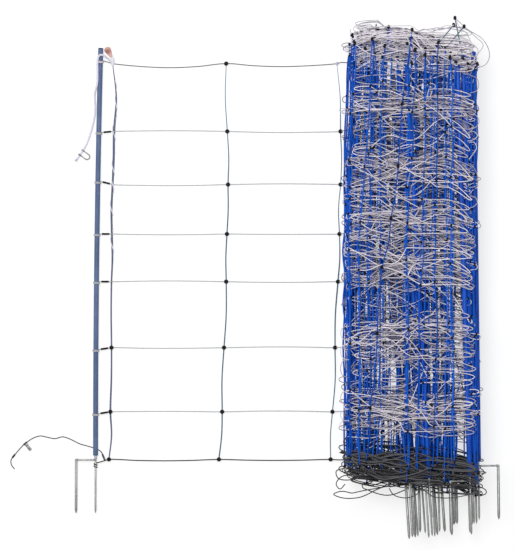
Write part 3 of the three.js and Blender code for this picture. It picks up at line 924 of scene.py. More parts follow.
@dataclass
class GuyRope:
    """The guy rope from the top tie over the end post, with its shackle and frayed end."""

    palette: Palette
    diameter: float = 0.0055
    route: tuple[Point, ...] = (
        (-0.4810, 0.6032, 0.0066), (-0.4872, 0.6080, 0.0096), (-0.4960, 0.6148, 0.0172),
        (-0.5038, 0.6186, 0.0209), (-0.5112, 0.6174, 0.0212), (-0.5154, 0.6092, 0.0196),
        (-0.5166, 0.5952, 0.0184), (-0.5164, 0.5760, 0.0181), (-0.5165, 0.5570, 0.0182),
        (-0.5176, 0.5386, 0.0174), (-0.5214, 0.5246, 0.0124), (-0.5244, 0.5142, 0.0056),
        (-0.5246, 0.4970, 0.0032), (-0.5234, 0.4780, 0.0031), (-0.5242, 0.4580, 0.0031),
        (-0.5278, 0.4370, 0.0031), (-0.5326, 0.4180, 0.0031), (-0.5386, 0.3980, 0.0031),
        (-0.5452, 0.3800, 0.0036), (-0.5536, 0.3640, 0.0054), (-0.5608, 0.3526, 0.0062),
        (-0.5670, 0.3434, 0.0060), (-0.5734, 0.3344, 0.0040),
    )
    shackle_at: Point = (-0.5608, 0.3526, 0.0062)
    shackle_turn: float = 54.0
    wire: float = 0.0034
    bow_length: float = 0.026
    bow_width: float = 0.015
    eye_diameter: float = 0.0104
    eye_length: float = 0.004
    frays: int = 9
    fray_diameter: float = 0.001
    fray_lengths: tuple[float, float] = (0.004, 0.007)
    fray_root: float = 0.0018
    fray_spread: float = 0.0035
    fray_wave: float = 0.0006
    sides: int = 12
    steps: int = 4
    braid_swell: float = 0.05
    braid_turns: float = 90

    def shackle(self) -> bpy.types.Object:
        """Makes the shackle: a bow of wire between two eyes on the rope.

        Returns:
            The shackle.
        """
        place = turned_about_z(self.shackle_at, self.shackle_turn)
        reach = self.bow_width / 2
        corner = self.bow_length - reach
        angle = np.linspace(0.0, math.pi, 19)
        arc = np.column_stack([-reach * np.cos(angle), -corner - reach * np.sin(angle), 0 * angle])
        legs = np.linspace(0.0, -corner, 7)[:-1]
        left = np.column_stack([np.full(len(legs), -reach), legs, 0 * legs])
        right = np.column_stack([np.full(len(legs), reach), legs[::-1], 0 * legs])
        line = np.vstack([left, arc, right]) @ np.array(place.to_3x3()).T + np.array(place.translation)
        weaver = Weaver("shackle")
        weaver.tube(line, self.wire / 2, self.sides)
        bore = self.diameter / 2 + GAP
        half = self.eye_length / 2
        rim = self.eye_diameter / 2
        edge = 0.2 * rim
        ring = [(bore, -half), (rim - edge, -half), (rim, edge - half)]
        ring += [(radius, -height) for radius, height in reversed(ring)]
        for side in Side:
            across = Matrix.Translation((side.value * reach, 0.0, 0.0))
            weaver.turned(ring, place @ across @ Matrix.Rotation(RIGHT_ANGLE, 4, "Z"), 20)
        shackle = weaver.build(self.palette.material(self.palette.shackle), "shackle_steel")
        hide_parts("guy_shackle")
        return shackle

    def build(self) -> None:
        """Makes the rope and what is on it."""
        line = spline(self.route, self.steps)
        run = np.linspace(0.0, 1.0, len(line))
        weaver = Weaver("rope")
        radius = self.diameter / 2 * (1 + self.braid_swell * np.sin(self.braid_turns * run))
        weaver.tube(line, radius, self.sides)
        rope = weaver.build(self.palette.material(self.palette.rope), "rope")
        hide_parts("guy_rope")
        shackle = self.shackle()
        tuft = self.tuft()
        log.info("guy rope, %.3f m, with its shackle", length_of(line))

    def tuft(self) -> bpy.types.Object:
        """Makes the frayed threads at the rope's end, spread on the floor.

        Returns:
            The tuft.
        """
        rng = np.random.default_rng(5)
        end = np.array(self.route[-1])
        run = end - np.array(self.route[-3])
        run /= np.linalg.norm(run)
        across = np.array([-run[1], run[0], 0.0])
        weaver = Weaver("rope_fray")
        for thread in np.linspace(-1.0, 1.0, self.frays):
            shortest, longest = self.fray_lengths
            reach = shortest + (longest - shortest) * rng.random()
            start = end - 0.003 * run + thread * self.fray_root * across
            tip = end + reach * run + thread * self.fray_spread * across
            middle = (start + tip) / 2 + self.fray_wave * across * rng.normal()
            tip[2] = 0.0009
            weaver.tube(spline([start, middle, tip], self.steps), self.fray_diameter / 2, 5, rng.random())
        return weaver.build(self.palette.material(self.palette.rope), "rope")


@dataclass
class EarthLead:
    """The earth lead from its crimp on the base strand to its bare end, with a clamp."""

    palette: Palette
    diameter: float = 0.0026
    route: tuple[Point, ...] = (
        (-0.5026, -0.4722, 0.0070), (-0.5056, -0.4656, 0.0052), (-0.5106, -0.4606, 0.0029),
        (-0.5194, -0.4558, 0.0016), (-0.5330, -0.4512, 0.0015), (-0.5520, -0.4458, 0.0015),
        (-0.5636, -0.4426, 0.0015), (-0.5768, -0.4364, 0.0015), (-0.5944, -0.4278, 0.0015),
        (-0.6128, -0.4226, 0.0015), (-0.6334, -0.4276, 0.0015), (-0.6526, -0.4242, 0.0015),
        (-0.6736, -0.4202, 0.0015), (-0.6948, -0.4270, 0.0019), (-0.7050, -0.4336, 0.0030),
        (-0.7140, -0.4404, 0.0036), (-0.7220, -0.4472, 0.0032), (-0.7386, -0.4662, 0.0029),
        (-0.7460, -0.4750, 0.0032), (-0.7516, -0.4826, 0.0030), (-0.7538, -0.4914, 0.0018),
        (-0.7506, -0.5018, 0.0015), (-0.7436, -0.5106, 0.0015),
    )
    clamp_point: int = 15
    end_sleeve_point: int = 18
    sleeve_diameter: float = 0.0052
    sleeve_length: float = 0.012
    plate: Point = (0.024, 0.009, 0.004)
    plate_steps: int = 25
    plate_sides: int = 16
    plate_blunt: float = 0.45
    waist_at: float = 0.45
    waist_depth: float = 0.22
    waist_width: float = 0.08
    screws: tuple[float, ...] = (0.28, 0.66)
    screw_head: tuple[tuple[float, float], ...] = ((0.0022, 0.0), (0.0022, 0.0010), (0.0017, 0.0014))
    screw_sunk: float = 0.0004
    sides: int = 8
    sleeve_sides: int = 14

    def run_at(self, number: int) -> tuple[np.ndarray, np.ndarray]:
        """Gives one of the route's points and the lead's direction there.

        Args:
            number: The point's number on the route.

        Returns:
            The point and the direction.
        """
        route = np.array(self.route)
        run = route[number + 1] - route[number - 1]
        return route[number], run / np.linalg.norm(run)

    def sleeve(self, weaver: Weaver, number: int) -> None:
        """Adds a crimped sleeve on the lead.

        Args:
            weaver: What it is added to.
            number: The route's point that it is on.
        """
        middle, run = self.run_at(number)
        half = self.sleeve_length / 2
        rim = self.sleeve_diameter / 2
        share = np.linspace(-1.0, 1.0, 17)
        radius = rim * (1 - 0.35 * np.abs(share) ** 12 - 0.1 * np.cos(2.5 * math.pi * share) ** 6)
        mouth = self.diameter / 2 + GAP
        outline = [(mouth, -half), *zip(radius, half * share), (mouth, half)]
        weaver.turned(outline, along(middle, middle + run), self.sleeve_sides)

    def clamp(self) -> bpy.types.Object:
        """Makes the clamp: the jaws of its plate, with rounded edges, and two screw heads.

        Returns:
            The clamp.
        """
        middle, run = self.run_at(self.clamp_point)
        outward = np.array([-run[1], run[0], 0.0])
        length, width, thickness = self.plate
        weaver = Weaver("clamp_plate")
        share = np.linspace(0.0, 1.0, self.plate_steps)
        line = middle + outward * length * share[:, None]
        line[:, 2] = middle[2]
        angle = FULL_TURN * np.arange(self.plate_sides) / self.plate_sides
        blunt = 1 - 0.6 * np.abs(2 * share - 1) ** 14
        waist = blunt * (1 - self.waist_depth * np.exp(-((share - self.waist_at) / self.waist_width) ** 2))
        flat = run - run[2] * np.array([0.0, 0.0, 1.0])
        flat /= np.linalg.norm(flat)
        parts = (np.cos(angle), np.sin(angle))
        cos, sin = (np.sign(part) * np.abs(part) ** self.plate_blunt for part in parts)
        rings = line[:, None] + flat * (width / 2) * cos[None, :, None] * waist[:, None, None]
        rings[..., 2] += (thickness / 2) * sin[None] * blunt[:, None]
        weaver.skin(rings, np.zeros(rings.shape), 0.5)
        for at in self.screws:
            screw = middle + outward * length * at
            screw[2] = middle[2] + thickness / 2 - self.screw_sunk
            place = along(screw, screw + np.array([0.0, 0.0, 1.0]))
            weaver.turned(self.screw_head, place, self.sleeve_sides)
        clamp = weaver.build(self.palette.material(self.palette.shackle), "clamp_steel")
        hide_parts("lead_clamp")
        return clamp

    def build(self) -> None:
        """Makes the lead, its clamp and its sleeves."""
        line = spline(self.route, 4)
        lead = Weaver("lead").tube(line, self.diameter / 2, self.sides).build(
            self.palette.material(self.palette.lead), "lead_cord")
        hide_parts("earth_lead")
        clamp = self.clamp()
        weaver = Weaver("lead_sleeves")
        for number in (self.clamp_point, self.end_sleeve_point):
            self.sleeve(weaver, number)
        sleeves = weaver.build(self.palette.material(self.palette.black), "black_plastic")
        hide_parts("lead_sleeve")
        log.info("earth lead, %.3f m, with its clamp and sleeves", length_of(line))


@dataclass
class SpikedFoot:
    """A post's steel foot: a stem in the tube, a step bar and two spikes."""

    spike_length: float = 0.158
    spike_spacing: float = 0.053
    spike_diameter: float = 0.0075
    stem_diameter: float = 0.0054
    step_diameter: float = 0.005
    step_drop: float = 0.012
    tip_length: float = 0.012
    neck_diameter: float = 0.008
    neck_gap: float = 0.0002
    stem_insert: float = 0.060
    tip_steps: int = 7
    tip_power: float = 0.8
    tip_width: float = 0.98
    tip_flat: float = 0.00012
    weld_bead: Outline = (
        (0.0016, -0.0022), (0.0034, -0.0016), (0.0040, 0.0), (0.0034, 0.0016), (0.0016, 0.0022),
    )

    @property
    def step_top(self) -> float:
        """The height of the step's upper side, against the tube's lower end."""
        return self.step_diameter / 2 - self.step_drop

    def bar(self, weaver: Weaver, place: Matrix, side: Side) -> None:
        """Adds the stem, the step and the outer spike.

        Args:
            weaver: What they are added to.
            place: The lower end of the post's tube, with the tube along +Y.
            side: Where the outer spike stands.
        """
        stem = self.stem_diameter / 2
        weaver.turned(self._spike(stem, self.stem_insert), place, 14)
        outer = place @ Matrix.Translation((side.value * self.spike_spacing, 0.0, 0.0))
        weaver.turned(self._spike(self.spike_diameter / 2, self.step_top), outer, 16)
        start = place @ Vector((0.0, -self.step_drop, 0.0))
        end = place @ Vector((side.value * self.spike_spacing, -self.step_drop, 0.0))
        weaver.tube(np.linspace(np.array(start), np.array(end), 9), self.step_diameter / 2, 12)
        for x in (0.0, side.value * (self.spike_spacing - self.spike_diameter / 2)):
            weld = Matrix.Translation((x, -self.step_drop, 0.0)) @ Matrix.Rotation(RIGHT_ANGLE, 4, "Z")
            weaver.turned(self.weld_bead, place @ weld, 12)

    def _spike(self, radius: float, top: float) -> list[tuple[float, float]]:
        """Gives the outline of a round bar from its blunt tip to its top.

        Args:
            radius: The bar's radius.
            top: How high its top is, against the tube's lower end.

        Returns:
            The outline's radii and heights.
        """
        tip = []
        for share in np.linspace(0.0, 1.0, self.tip_steps):
            width = radius * math.sin(share * math.pi / 2) ** self.tip_power * self.tip_width
            tip.append((width + self.tip_flat, -self.spike_length + self.tip_length * share))
        return [*tip, (radius, top - 0.001), (radius * 0.75, top)]

    def neck(self, weaver: Weaver, place: Matrix) -> None:
        """Adds the pale sleeve between the tube and the step.

        Args:
            weaver: What it is added to.
            place: The lower end of the post's tube.
        """
        rim = self.neck_diameter / 2
        bottom = self.step_top + self.neck_gap
        outline = [(rim * 0.7, bottom), (rim, bottom + 0.001), (rim, -self.neck_gap), (rim * 0.8, 0.004)]
        weaver.turned(outline, place, 16)


@dataclass
class EndPost:
    """The end post with its cap, foot, ties, sleeves and clip."""

    layout: NetLayout
    palette: Palette
    foot: SpikedFoot = field(default_factory=SpikedFoot)
    sides: int = 28
    cap_diameter: float = 0.0146
    cap_roof: float = 0.0024
    sleeve_diameter: float = 0.0056
    sleeve_length: float = 0.021
    sleeve_from_post: float = 0.003
    clip_head: float = 0.0093
    clip_tail: float = 0.0036
    clip_length: float = 0.027
    clip_thickness: float = 0.007
    clip_turn: float = 29.0
    clip_tail_depth: float = 0.005
    top_tie_length: float = 0.024
    tube_steps: int = 40
    mouth_depth: float = 0.01
    cap_rim: float = 0.0008
    cap_edge: float = 0.0004
    cap_plug: Outline = ((0.0043, -0.009), (0.0045, GAP))
    sleeve_steps: int = 25
    sleeve_sides: int = 14
    sleeve_ends: float = 0.3
    sleeve_crimp: float = 0.06
    sleeve_crimps: int = 6
    clip_sides: int = 22
    clip_blunt: float = 0.7
    clip_swell: float = 0.6
    clip_edge: float = 0.0012
    clip_dome: float = 1.5

    def axis(self, y: float) -> Vector:
        """Gives the post's axis at a height."""
        return Vector((self.layout.end_post_axis(y), y, self.layout.post_z))

    def bent(self, rings: np.ndarray) -> np.ndarray:
        """Moves points built about a straight post onto the leaning and bowed one."""
        rings[..., 0] += self.layout.end_post_axis(rings[..., 1])
        return rings

    def tube(self) -> None:
        """Makes the hollow tube, open round its foot's neck."""
        radius = self.layout.post_diameter / 2
        bore = self.layout.post_bore / 2
        length = self.layout.post_length
        edge = TUBE_EDGE
        steps = np.linspace(edge, length - edge, self.tube_steps)
        outline = [(bore, BORE_DEPTH), (bore, 0.0), (radius - edge, 0.0), *((radius, y) for y in steps),
                   (radius - edge, length), (bore, length), (bore, length - self.mouth_depth)]
        place = Matrix.Translation((0.0, self.layout.tube_bottom, self.layout.post_z))
        tube = Weaver("end_tube").turned(outline, place, self.sides, bend=self.bent).build(
            self.palette.material(self.palette.end_post), "end_post_plastic")
        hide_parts("end_post_tube")

    def cap(self) -> None:
        """Makes the domed black cap on the tube."""
        top = self.layout.tube_bottom + self.layout.post_length
        rim = self.cap_diameter / 2
        roof = self.cap_roof - self.cap_rim - GAP
        dome = [(rim * math.cos(turn), GAP + self.cap_rim + roof * math.sin(turn))
                for turn in np.linspace(0.0, 1.5, 8)]
        outline = [*self.cap_plug, (rim - self.cap_edge, GAP), *dome]
        place = along(self.axis(top), self.axis(top + self.mouth_depth))
        cap = Weaver("post_cap").turned(outline, place, self.sides).build(
            self.palette.material(self.palette.black), "black_plastic")
        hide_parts("end_post_cap")

    def feet(self) -> None:
        """Makes the steel foot and its pale neck."""
        low = self.layout.tube_bottom
        place = along(self.axis(low), self.axis(low + self.layout.post_length / 4))
        weaver = Weaver("end_foot")
        self.foot.bar(weaver, place, Side.LEFT)
        foot = weaver.build(self.palette.material(self.palette.steel), "steel")
        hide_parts("end_post_foot")
        neck = Weaver("foot_neck")
        self.foot.neck(neck, place)
        neck.build(self.palette.material(self.palette.neck), "end_post_plastic")

    def sleeves(self) -> None:
        """Makes the six black sleeves that close the ties."""
        rim = self.sleeve_diameter / 2
        share = np.linspace(0.0, 1.0, self.sleeve_steps)
        crimped = np.cos(self.sleeve_crimps * FULL_TURN * share) > 0.3
        ends = self.sleeve_ends * np.abs(2 * share - 1) ** 16
        radius = rim * (1 - ends - self.sleeve_crimp * crimped)
        for row in range(1, self.layout.top_row):
            points = self.layout.strand(row)
            run = points[3] - points[0]
            run /= np.linalg.norm(run)
            wire = self.layout.strand_radius(row)
            start = points[0] + run * (wire + self.sleeve_from_post)
            mouth = wire + GAP
            outline = [(mouth, 0.0), *zip(radius, self.sleeve_length * share), (mouth, self.sleeve_length)]
            place = along(start, start + run)
            sleeve = Weaver(f"tie_sleeve_{row}").turned(outline, place, self.sleeve_sides).build(
                self.palette.material(self.palette.black), "black_plastic")
            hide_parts(f"sleeve_{row}")

    def clip(self) -> None:
        """Makes the faded orange end clip, a teardrop with rounded edges."""
        seat = self.layout.crossing(0, self.layout.top_row)
        seat[1] += self.layout.top_tie_rise + self.top_tie_length / 2 - self.clip_tail_depth
        seat[2] = self.layout.top_tie_z
        place = np.array(turned_about_z(seat, self.clip_turn))
        head, tail, length = self.clip_head, self.clip_tail / 2, self.clip_length
        flank = math.asin((head - tail) / length)
        meets = length + head * math.sin(-flank)
        turns = np.linspace(-flank, self.clip_dome, 20)
        heights = np.concatenate([np.linspace(0.0, meets, 14)[:-1], length + head * np.sin(turns)])
        taper = tail + (head * math.cos(flank) - tail) * heights / meets
        dome = np.sqrt(np.maximum(head**2 - (heights - length) ** 2, 0.0))
        half_width = np.where(heights < meets, taper, dome)
        half_thick = np.minimum(self.clip_thickness / 2, self.clip_swell * half_width + self.clip_edge)
        angle = FULL_TURN * np.arange(self.clip_sides) / self.clip_sides
        parts = (np.cos(angle), np.sin(angle))
        cos, sin = (np.sign(part) * np.abs(part) ** self.clip_blunt for part in parts)
        rings = np.empty((len(heights), self.clip_sides, 3))
        rings[..., 0] = half_width[:, None] * cos[None]
        rings[..., 1] = heights[:, None]
        rings[..., 2] = half_thick[:, None] * sin[None]
        rings = rings @ place[:3, :3].T + place[:3, 3]
        weaver = Weaver("clip")
        weaver.skin(rings[:, ::-1], np.zeros(rings.shape), 0.5)
        clip = weaver.build(self.palette.material(self.palette.clip), "orange_plastic")
        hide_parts("end_clip")

    def build(self) -> None:
        """Makes every piece of the end post."""
        self.tube()
        self.cap()
        self.feet()
        self.sleeves()
        self.clip()
        log.info("end post with its cap, foot, %d sleeves and clip", self.layout.top_row - 1)


@dataclass
class OpenField:
    """The open field of netting: eight strands and three uprights with their knots."""

    layout: NetLayout
    palette: Palette
    tie_turns: float = 2.0
    knot_neck: float = 0.0064
    shades: tuple[tuple[float, ...], ...] = (
        (0.6, 0.5, 0.5, 0.5, 0.4, 0.4, 0.5, 0.5),
        (0.35, 0.4, 0.3, 0.4, 0.3, 0.3, 0.75, 0.9),
        (0.3, 0.35, 0.3, 0.3, 0.6, 0.35, 0.8, 1.0),
    )
    widths: tuple[tuple[float, ...], ...] = (
        (0.0034, 0.0050, 0.0042, 0.0044, 0.0056, 0.0056, 0.0066, 0.0020),
        (0.0036, 0.0036, 0.0034, 0.0034, 0.0034, 0.0032, 0.0026, 0.0019),
        (0.0024, 0.0026, 0.0034, 0.0040, 0.0028, 0.0020, 0.0030, 0.0012),
    )
    small_knot: float = 0.5
    pale_knot: float = 0.8
    string_diameter: float = 0.0026
    string_pitch: float = 0.070
    string_stretches: tuple[tuple[float, float], ...] = (
        (0.466, 0.560), (0.386, 0.455), (0.290, 0.362), (0.180, 0.286), (0.080, 0.152),
    )
    string_sides: int = 7
    dark_rows: tuple[int, ...] = (7,)
    sides: int = 10
    body_sides: int = 14
    tie_pitch: float = 2.1
    base_pitch: float = 0.0062
    base_tone: float = 0.15
    line_tone: float = 0.5
    ring_tone: float = 0.6
    crimp_mouth: Point = (-0.50426, -0.46857, 0.0060)
    crimp_root: Point = (-0.4965, -0.4870, 0.0098)
    crimp_radius: float = 0.0028
    crimp_ends: float = 0.3
    crimp_depth: float = 0.1
    top_tie_half: float = 0.012
    top_tie_radius: float = 0.0053
    top_tie_taper: float = 0.45
    top_tie_ridge: float = 0.07
    top_tie_steps: int = 45
    knot_steps: int = 13
    knot_rim: float = 0.92
    crossing_length: float = 1.05

    def strands(self) -> None:
        """Makes the eight strands with their ties on the end post."""
        for row in range(self.layout.top_row + 1):
            radius = self.layout.strand_radius(row)
            line = spline(self.layout.strand(row), 8)
            centre, reach = self.layout.tie(row)
            pitch = self.tie_pitch * radius if row else self.base_pitch
            tie = helix(tuple(centre), reach, pitch, self.tie_turns)
            tie[:, 1] += centre[1] - tie[-1, 1]
            weaver = Weaver(f"open_strand_{row + 1}")
            weaver.tube(line, radius, self.sides, self.line_tone if row else self.base_tone)
            ring = Weaver("top_strand_ring") if row == self.layout.top_row else weaver
            shade = self.ring_tone if row else self.base_tone
            ring.tube(tie, radius, self.sides, shade, up=(0.0, 1.0, 0.0))
            finish, slot = self.finish_of(row)
            if row == 0:
                self.crimp(weaver)
            if row == self.layout.top_row:
                ring.build(self.palette.material(self.palette.polywire), "polywire")
                self.top_tie()
            strand = weaver.build(self.palette.material(finish), slot)
            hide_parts(f"strand_{row + 1}")

    def finish_of(self, row: int) -> tuple[Wound, str]:
        """Gives the finish and the material slot of a row's strand.

        Args:
            row: The strand's row.

        Returns:
            The finish and the slot.
        """
        if row == 0:
            return self.palette.base_cord, "base_cord"
        return (self.palette.dark_wire if row in self.dark_rows else self.palette.open_wire), "polywire"

    def crimp(self, weaver: Weaver) -> None:
        """Adds the crimp on the base strand that takes the lead's end.

        Args:
            weaver: What it is added to.
        """
        mouth, root = np.array(self.crimp_mouth), np.array(self.crimp_root)
        share = np.linspace(0.0, 1.0, 17)
        ends = self.crimp_ends * np.abs(2 * share - 1) ** 10
        radius = self.crimp_radius * (1 - ends - self.crimp_depth * np.cos(3 * math.pi * share) ** 4)
        length = float(np.linalg.norm(mouth - root))
        weaver.turned(list(zip(radius, length * share)), along(root, mouth), self.body_sides)

    def top_tie(self) -> None:
        """Makes the string bound round the top strand, the first upright and the clip."""
        centre = self.layout.crossing(0, self.layout.top_row)
        centre[1] += self.layout.top_tie_rise
        centre[2] = self.layout.top_tie_z
        share = np.linspace(-1.0, 1.0, self.top_tie_steps)
        ridges = 1 + self.top_tie_ridge * np.cos(9 * math.pi * share)
        radius = self.top_tie_radius * (1 - self.top_tie_taper * np.abs(share) ** 3) * ridges
        outline = list(zip(radius, self.top_tie_half * share))
        tie = Weaver("top_tie").turned(outline, Matrix.Translation(Vector(centre)), 18).build(
            self.palette.material(self.palette.string), "polywire")
        log.info("top tie %s", tie.name)

    def knot(self, weaver: Weaver, place: np.ndarray, scale: float, heading: np.ndarray) -> None:
        """Adds a moulded knot: a barrel on the twine and a shorter one on the strand.

        Args:
            weaver: What it is added to.
            place: The knot's middle.
            scale: Its size against a full one.
            heading: The twine's direction.
        """
        half = scale * self.layout.knot_length / 2
        rim = scale * self.layout.knot_width / 2 * self.knot_rim
        neck = scale * self.knot_neck / 2
        share = np.linspace(-1.0, 1.0, self.knot_steps)
        swell = 1 - np.abs(share) ** 4
        upright = neck + (rim - neck) * swell
        weaver.turned(list(zip(upright, half * share)), along(place, place + heading), self.body_sides)
        crossing = neck + (rim - neck) * 0.5 * swell
        side = np.array([heading[1], -heading[0], 0.0])
        barrel = list(zip(crossing, self.crossing_length * half * share))
        weaver.turned(barrel, along(place, place + side), self.body_sides)

    def uprights(self) -> None:
        """Makes the three uprights' twines and their knots."""
        for column in range(3):
            line = spline(self.layout.upright(column), 10)
            weaver = Weaver(f"open_upright_{column + 1}")
            radius = self.width(column, line) / 2
            line[:, 2] = np.maximum(line[:, 2], radius)
            weaver.tube(line, radius, self.sides, self.shade(column, line))
            finish = self.palette.purple_twine if column == 0 else self.palette.twine
            upright = weaver.build(self.palette.material(finish), "twine")
            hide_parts(f"upright_{column + 1}")
            self.knots(column)

    def shade(self, column: int, line: np.ndarray) -> np.ndarray:
        """Gives the shade of an upright's twine along its length."""
        return np.interp(line[:, 1], self.layout.rows, self.shades[column])

    def width(self, column: int, line: np.ndarray) -> np.ndarray:
        """Gives the width of an upright's twine along its length."""
        return np.interp(line[:, 1], self.layout.rows, self.widths[column])

    def knots(self, column: int) -> None:
        """Makes the knots of one upright.

        Args:
            column: The upright's number.
        """
        weaver = Weaver(f"open_knots_{column + 1}")
        pale = Weaver("pale_knot")
        for row in range(self.layout.top_row + 1):
            if column == 0 and row == self.layout.top_row:
                continue
            is_pale = column == 2 and row == self.layout.top_row
            target = pale if is_pale else weaver
            scale = self.pale_knot if is_pale else (self.small_knot if column == 0 and row > 2 else 1.0)
            below = self.layout.crossing(column, max(row - 1, 0))
            above = self.layout.crossing(column, min(row + 1, self.layout.top_row))
            heading = (above - below) / np.linalg.norm(above - below)
            self.knot(target, self.layout.crossing(column, row), scale, heading)
        weaver.build(self.palette.material(self.palette.black), "black_plastic")
        if pale.count:
            pale.build(self.palette.material(self.palette.neck), "black_plastic")

    def string(self) -> None:
        """Makes the white string that winds down the first upright."""
        twine = spline(self.layout.upright(0), 40)
        weaver = Weaver("upright_string")
        for low, high in self.string_stretches:
            inside = twine[(twine[:, 1] > low) & (twine[:, 1] < high)]
            line = spline(inside[:: max(1, len(inside) // 8)], 10)
            angle = FULL_TURN * (line[:, 1] - low) / self.string_pitch
            reach = (self.width(0, line) + self.string_diameter) / 2
            wound = line.copy()
            wound[:, 0] += reach * np.cos(angle)
            wound[:, 2] += reach * (1 + np.sin(angle))
            wound[:, 2] = np.maximum(wound[:, 2], self.string_diameter / 2)
            weaver.tube(wound, self.string_diameter / 2, self.string_sides)
        weaver.build(self.palette.material(self.palette.string), "polywire")

    def build(self) -> None:
        """Makes the open field."""
        self.strands()
        self.uprights()
        self.string()
        log.info("open field: %d strands and 3 uprights", self.layout.top_row + 1)


@dataclass(frozen=True)
class BundledPost:
    """Where one post of the bundle lies."""

    layer: int
    foot: float
    lean: float
    side: Side
    drop: float


@dataclass
class PostBundle:
    """The thirteen posts and spiked feet that the netting is folded on."""

    layout: NetLayout
    palette: Palette
    foot: SpikedFoot = field(default_factory=SpikedFoot)
    first_layer: float = 0.020
    layer_pitch: float = 0.018
    crown: float = 0.003
    sides: int = 20
    posts: tuple[BundledPost, ...] = (
        BundledPost(1, 0.001, -0.108, Side.RIGHT, 0.022), BundledPost(1, 0.165, -0.052, Side.LEFT, 0.030),
        BundledPost(2, 0.016, -0.094, Side.RIGHT, 0.062), BundledPost(3, 0.035, -0.090, Side.RIGHT, 0.052),
        BundledPost(3, 0.104, -0.032, Side.RIGHT, 0.052), BundledPost(4, 0.073, -0.036, Side.LEFT, 0.046),
        BundledPost(4, 0.173, -0.026, Side.LEFT, 0.024), BundledPost(5, 0.059, -0.056, Side.LEFT, 0.058),
        BundledPost(5, 0.179, -0.016, Side.RIGHT, 0.012), BundledPost(6, 0.042, -0.082, Side.LEFT, 0.060),
        BundledPost(6, 0.164, -0.030, Side.LEFT, 0.022), BundledPost(7, 0.050, -0.068, Side.LEFT, 0.054),
        BundledPost(7, 0.156, -0.038, Side.LEFT, 0.050),
    )

    def place(self, post: BundledPost) -> Matrix:
        """Gives the lower end of a post's tube, with the tube along +Y.

        Args:
            post: Where the post lies.

        Returns:
            The place of its lower end.
        """
        whole = self.layout.post_length + self.foot.spike_length
        x = self.layout.bundle_x + post.foot + post.lean * self.foot.spike_length / whole
        y = self.layout.tube_bottom - post.drop
        z = self.first_layer + (post.layer - 1) * self.layer_pitch
        lean = math.degrees(math.atan2(-post.lean, whole))
        return turned_about_z((x, y, z), lean)

    def tube(self) -> list[tuple[float, float]]:
        """Gives a tube's outline, with its moulded crown and its open lower end.

        Returns:
            The outline's radii and heights.
        """
        radius = self.layout.post_diameter / 2
        bore = self.layout.post_bore / 2
        length = self.layout.post_length
        edge = TUBE_EDGE
        steps = np.linspace(edge, length - self.crown, 14)
        crown = [(radius * math.cos(turn), length - self.crown + self.crown * math.sin(turn))
                 for turn in np.linspace(0.2, 1.5, 6)]
        foot = [(bore, BORE_DEPTH), (bore, 0.0), (radius - edge, 0.0)]
        return [*foot, *((radius, y) for y in steps), *crown]

    def build(self) -> None:
        """Makes every post and foot of the bundle."""
        outline = self.tube()
        for number, post in enumerate(self.posts, 1):
            place = self.place(post)
            tube = Weaver(f"bundle_tube_{number:02d}").turned(outline, place, self.sides).build(
                self.palette.material(self.palette.bundle_post), "post_plastic")
            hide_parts(f"post_{number:02d}")
            weaver = Weaver(f"bundle_foot_{number:02d}")
            self.foot.bar(weaver, place, post.side)
            foot = weaver.build(self.palette.material(self.palette.steel), "steel")
            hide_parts(f"foot_{number:02d}")
        log.info("bundle of %d posts", len(self.posts))


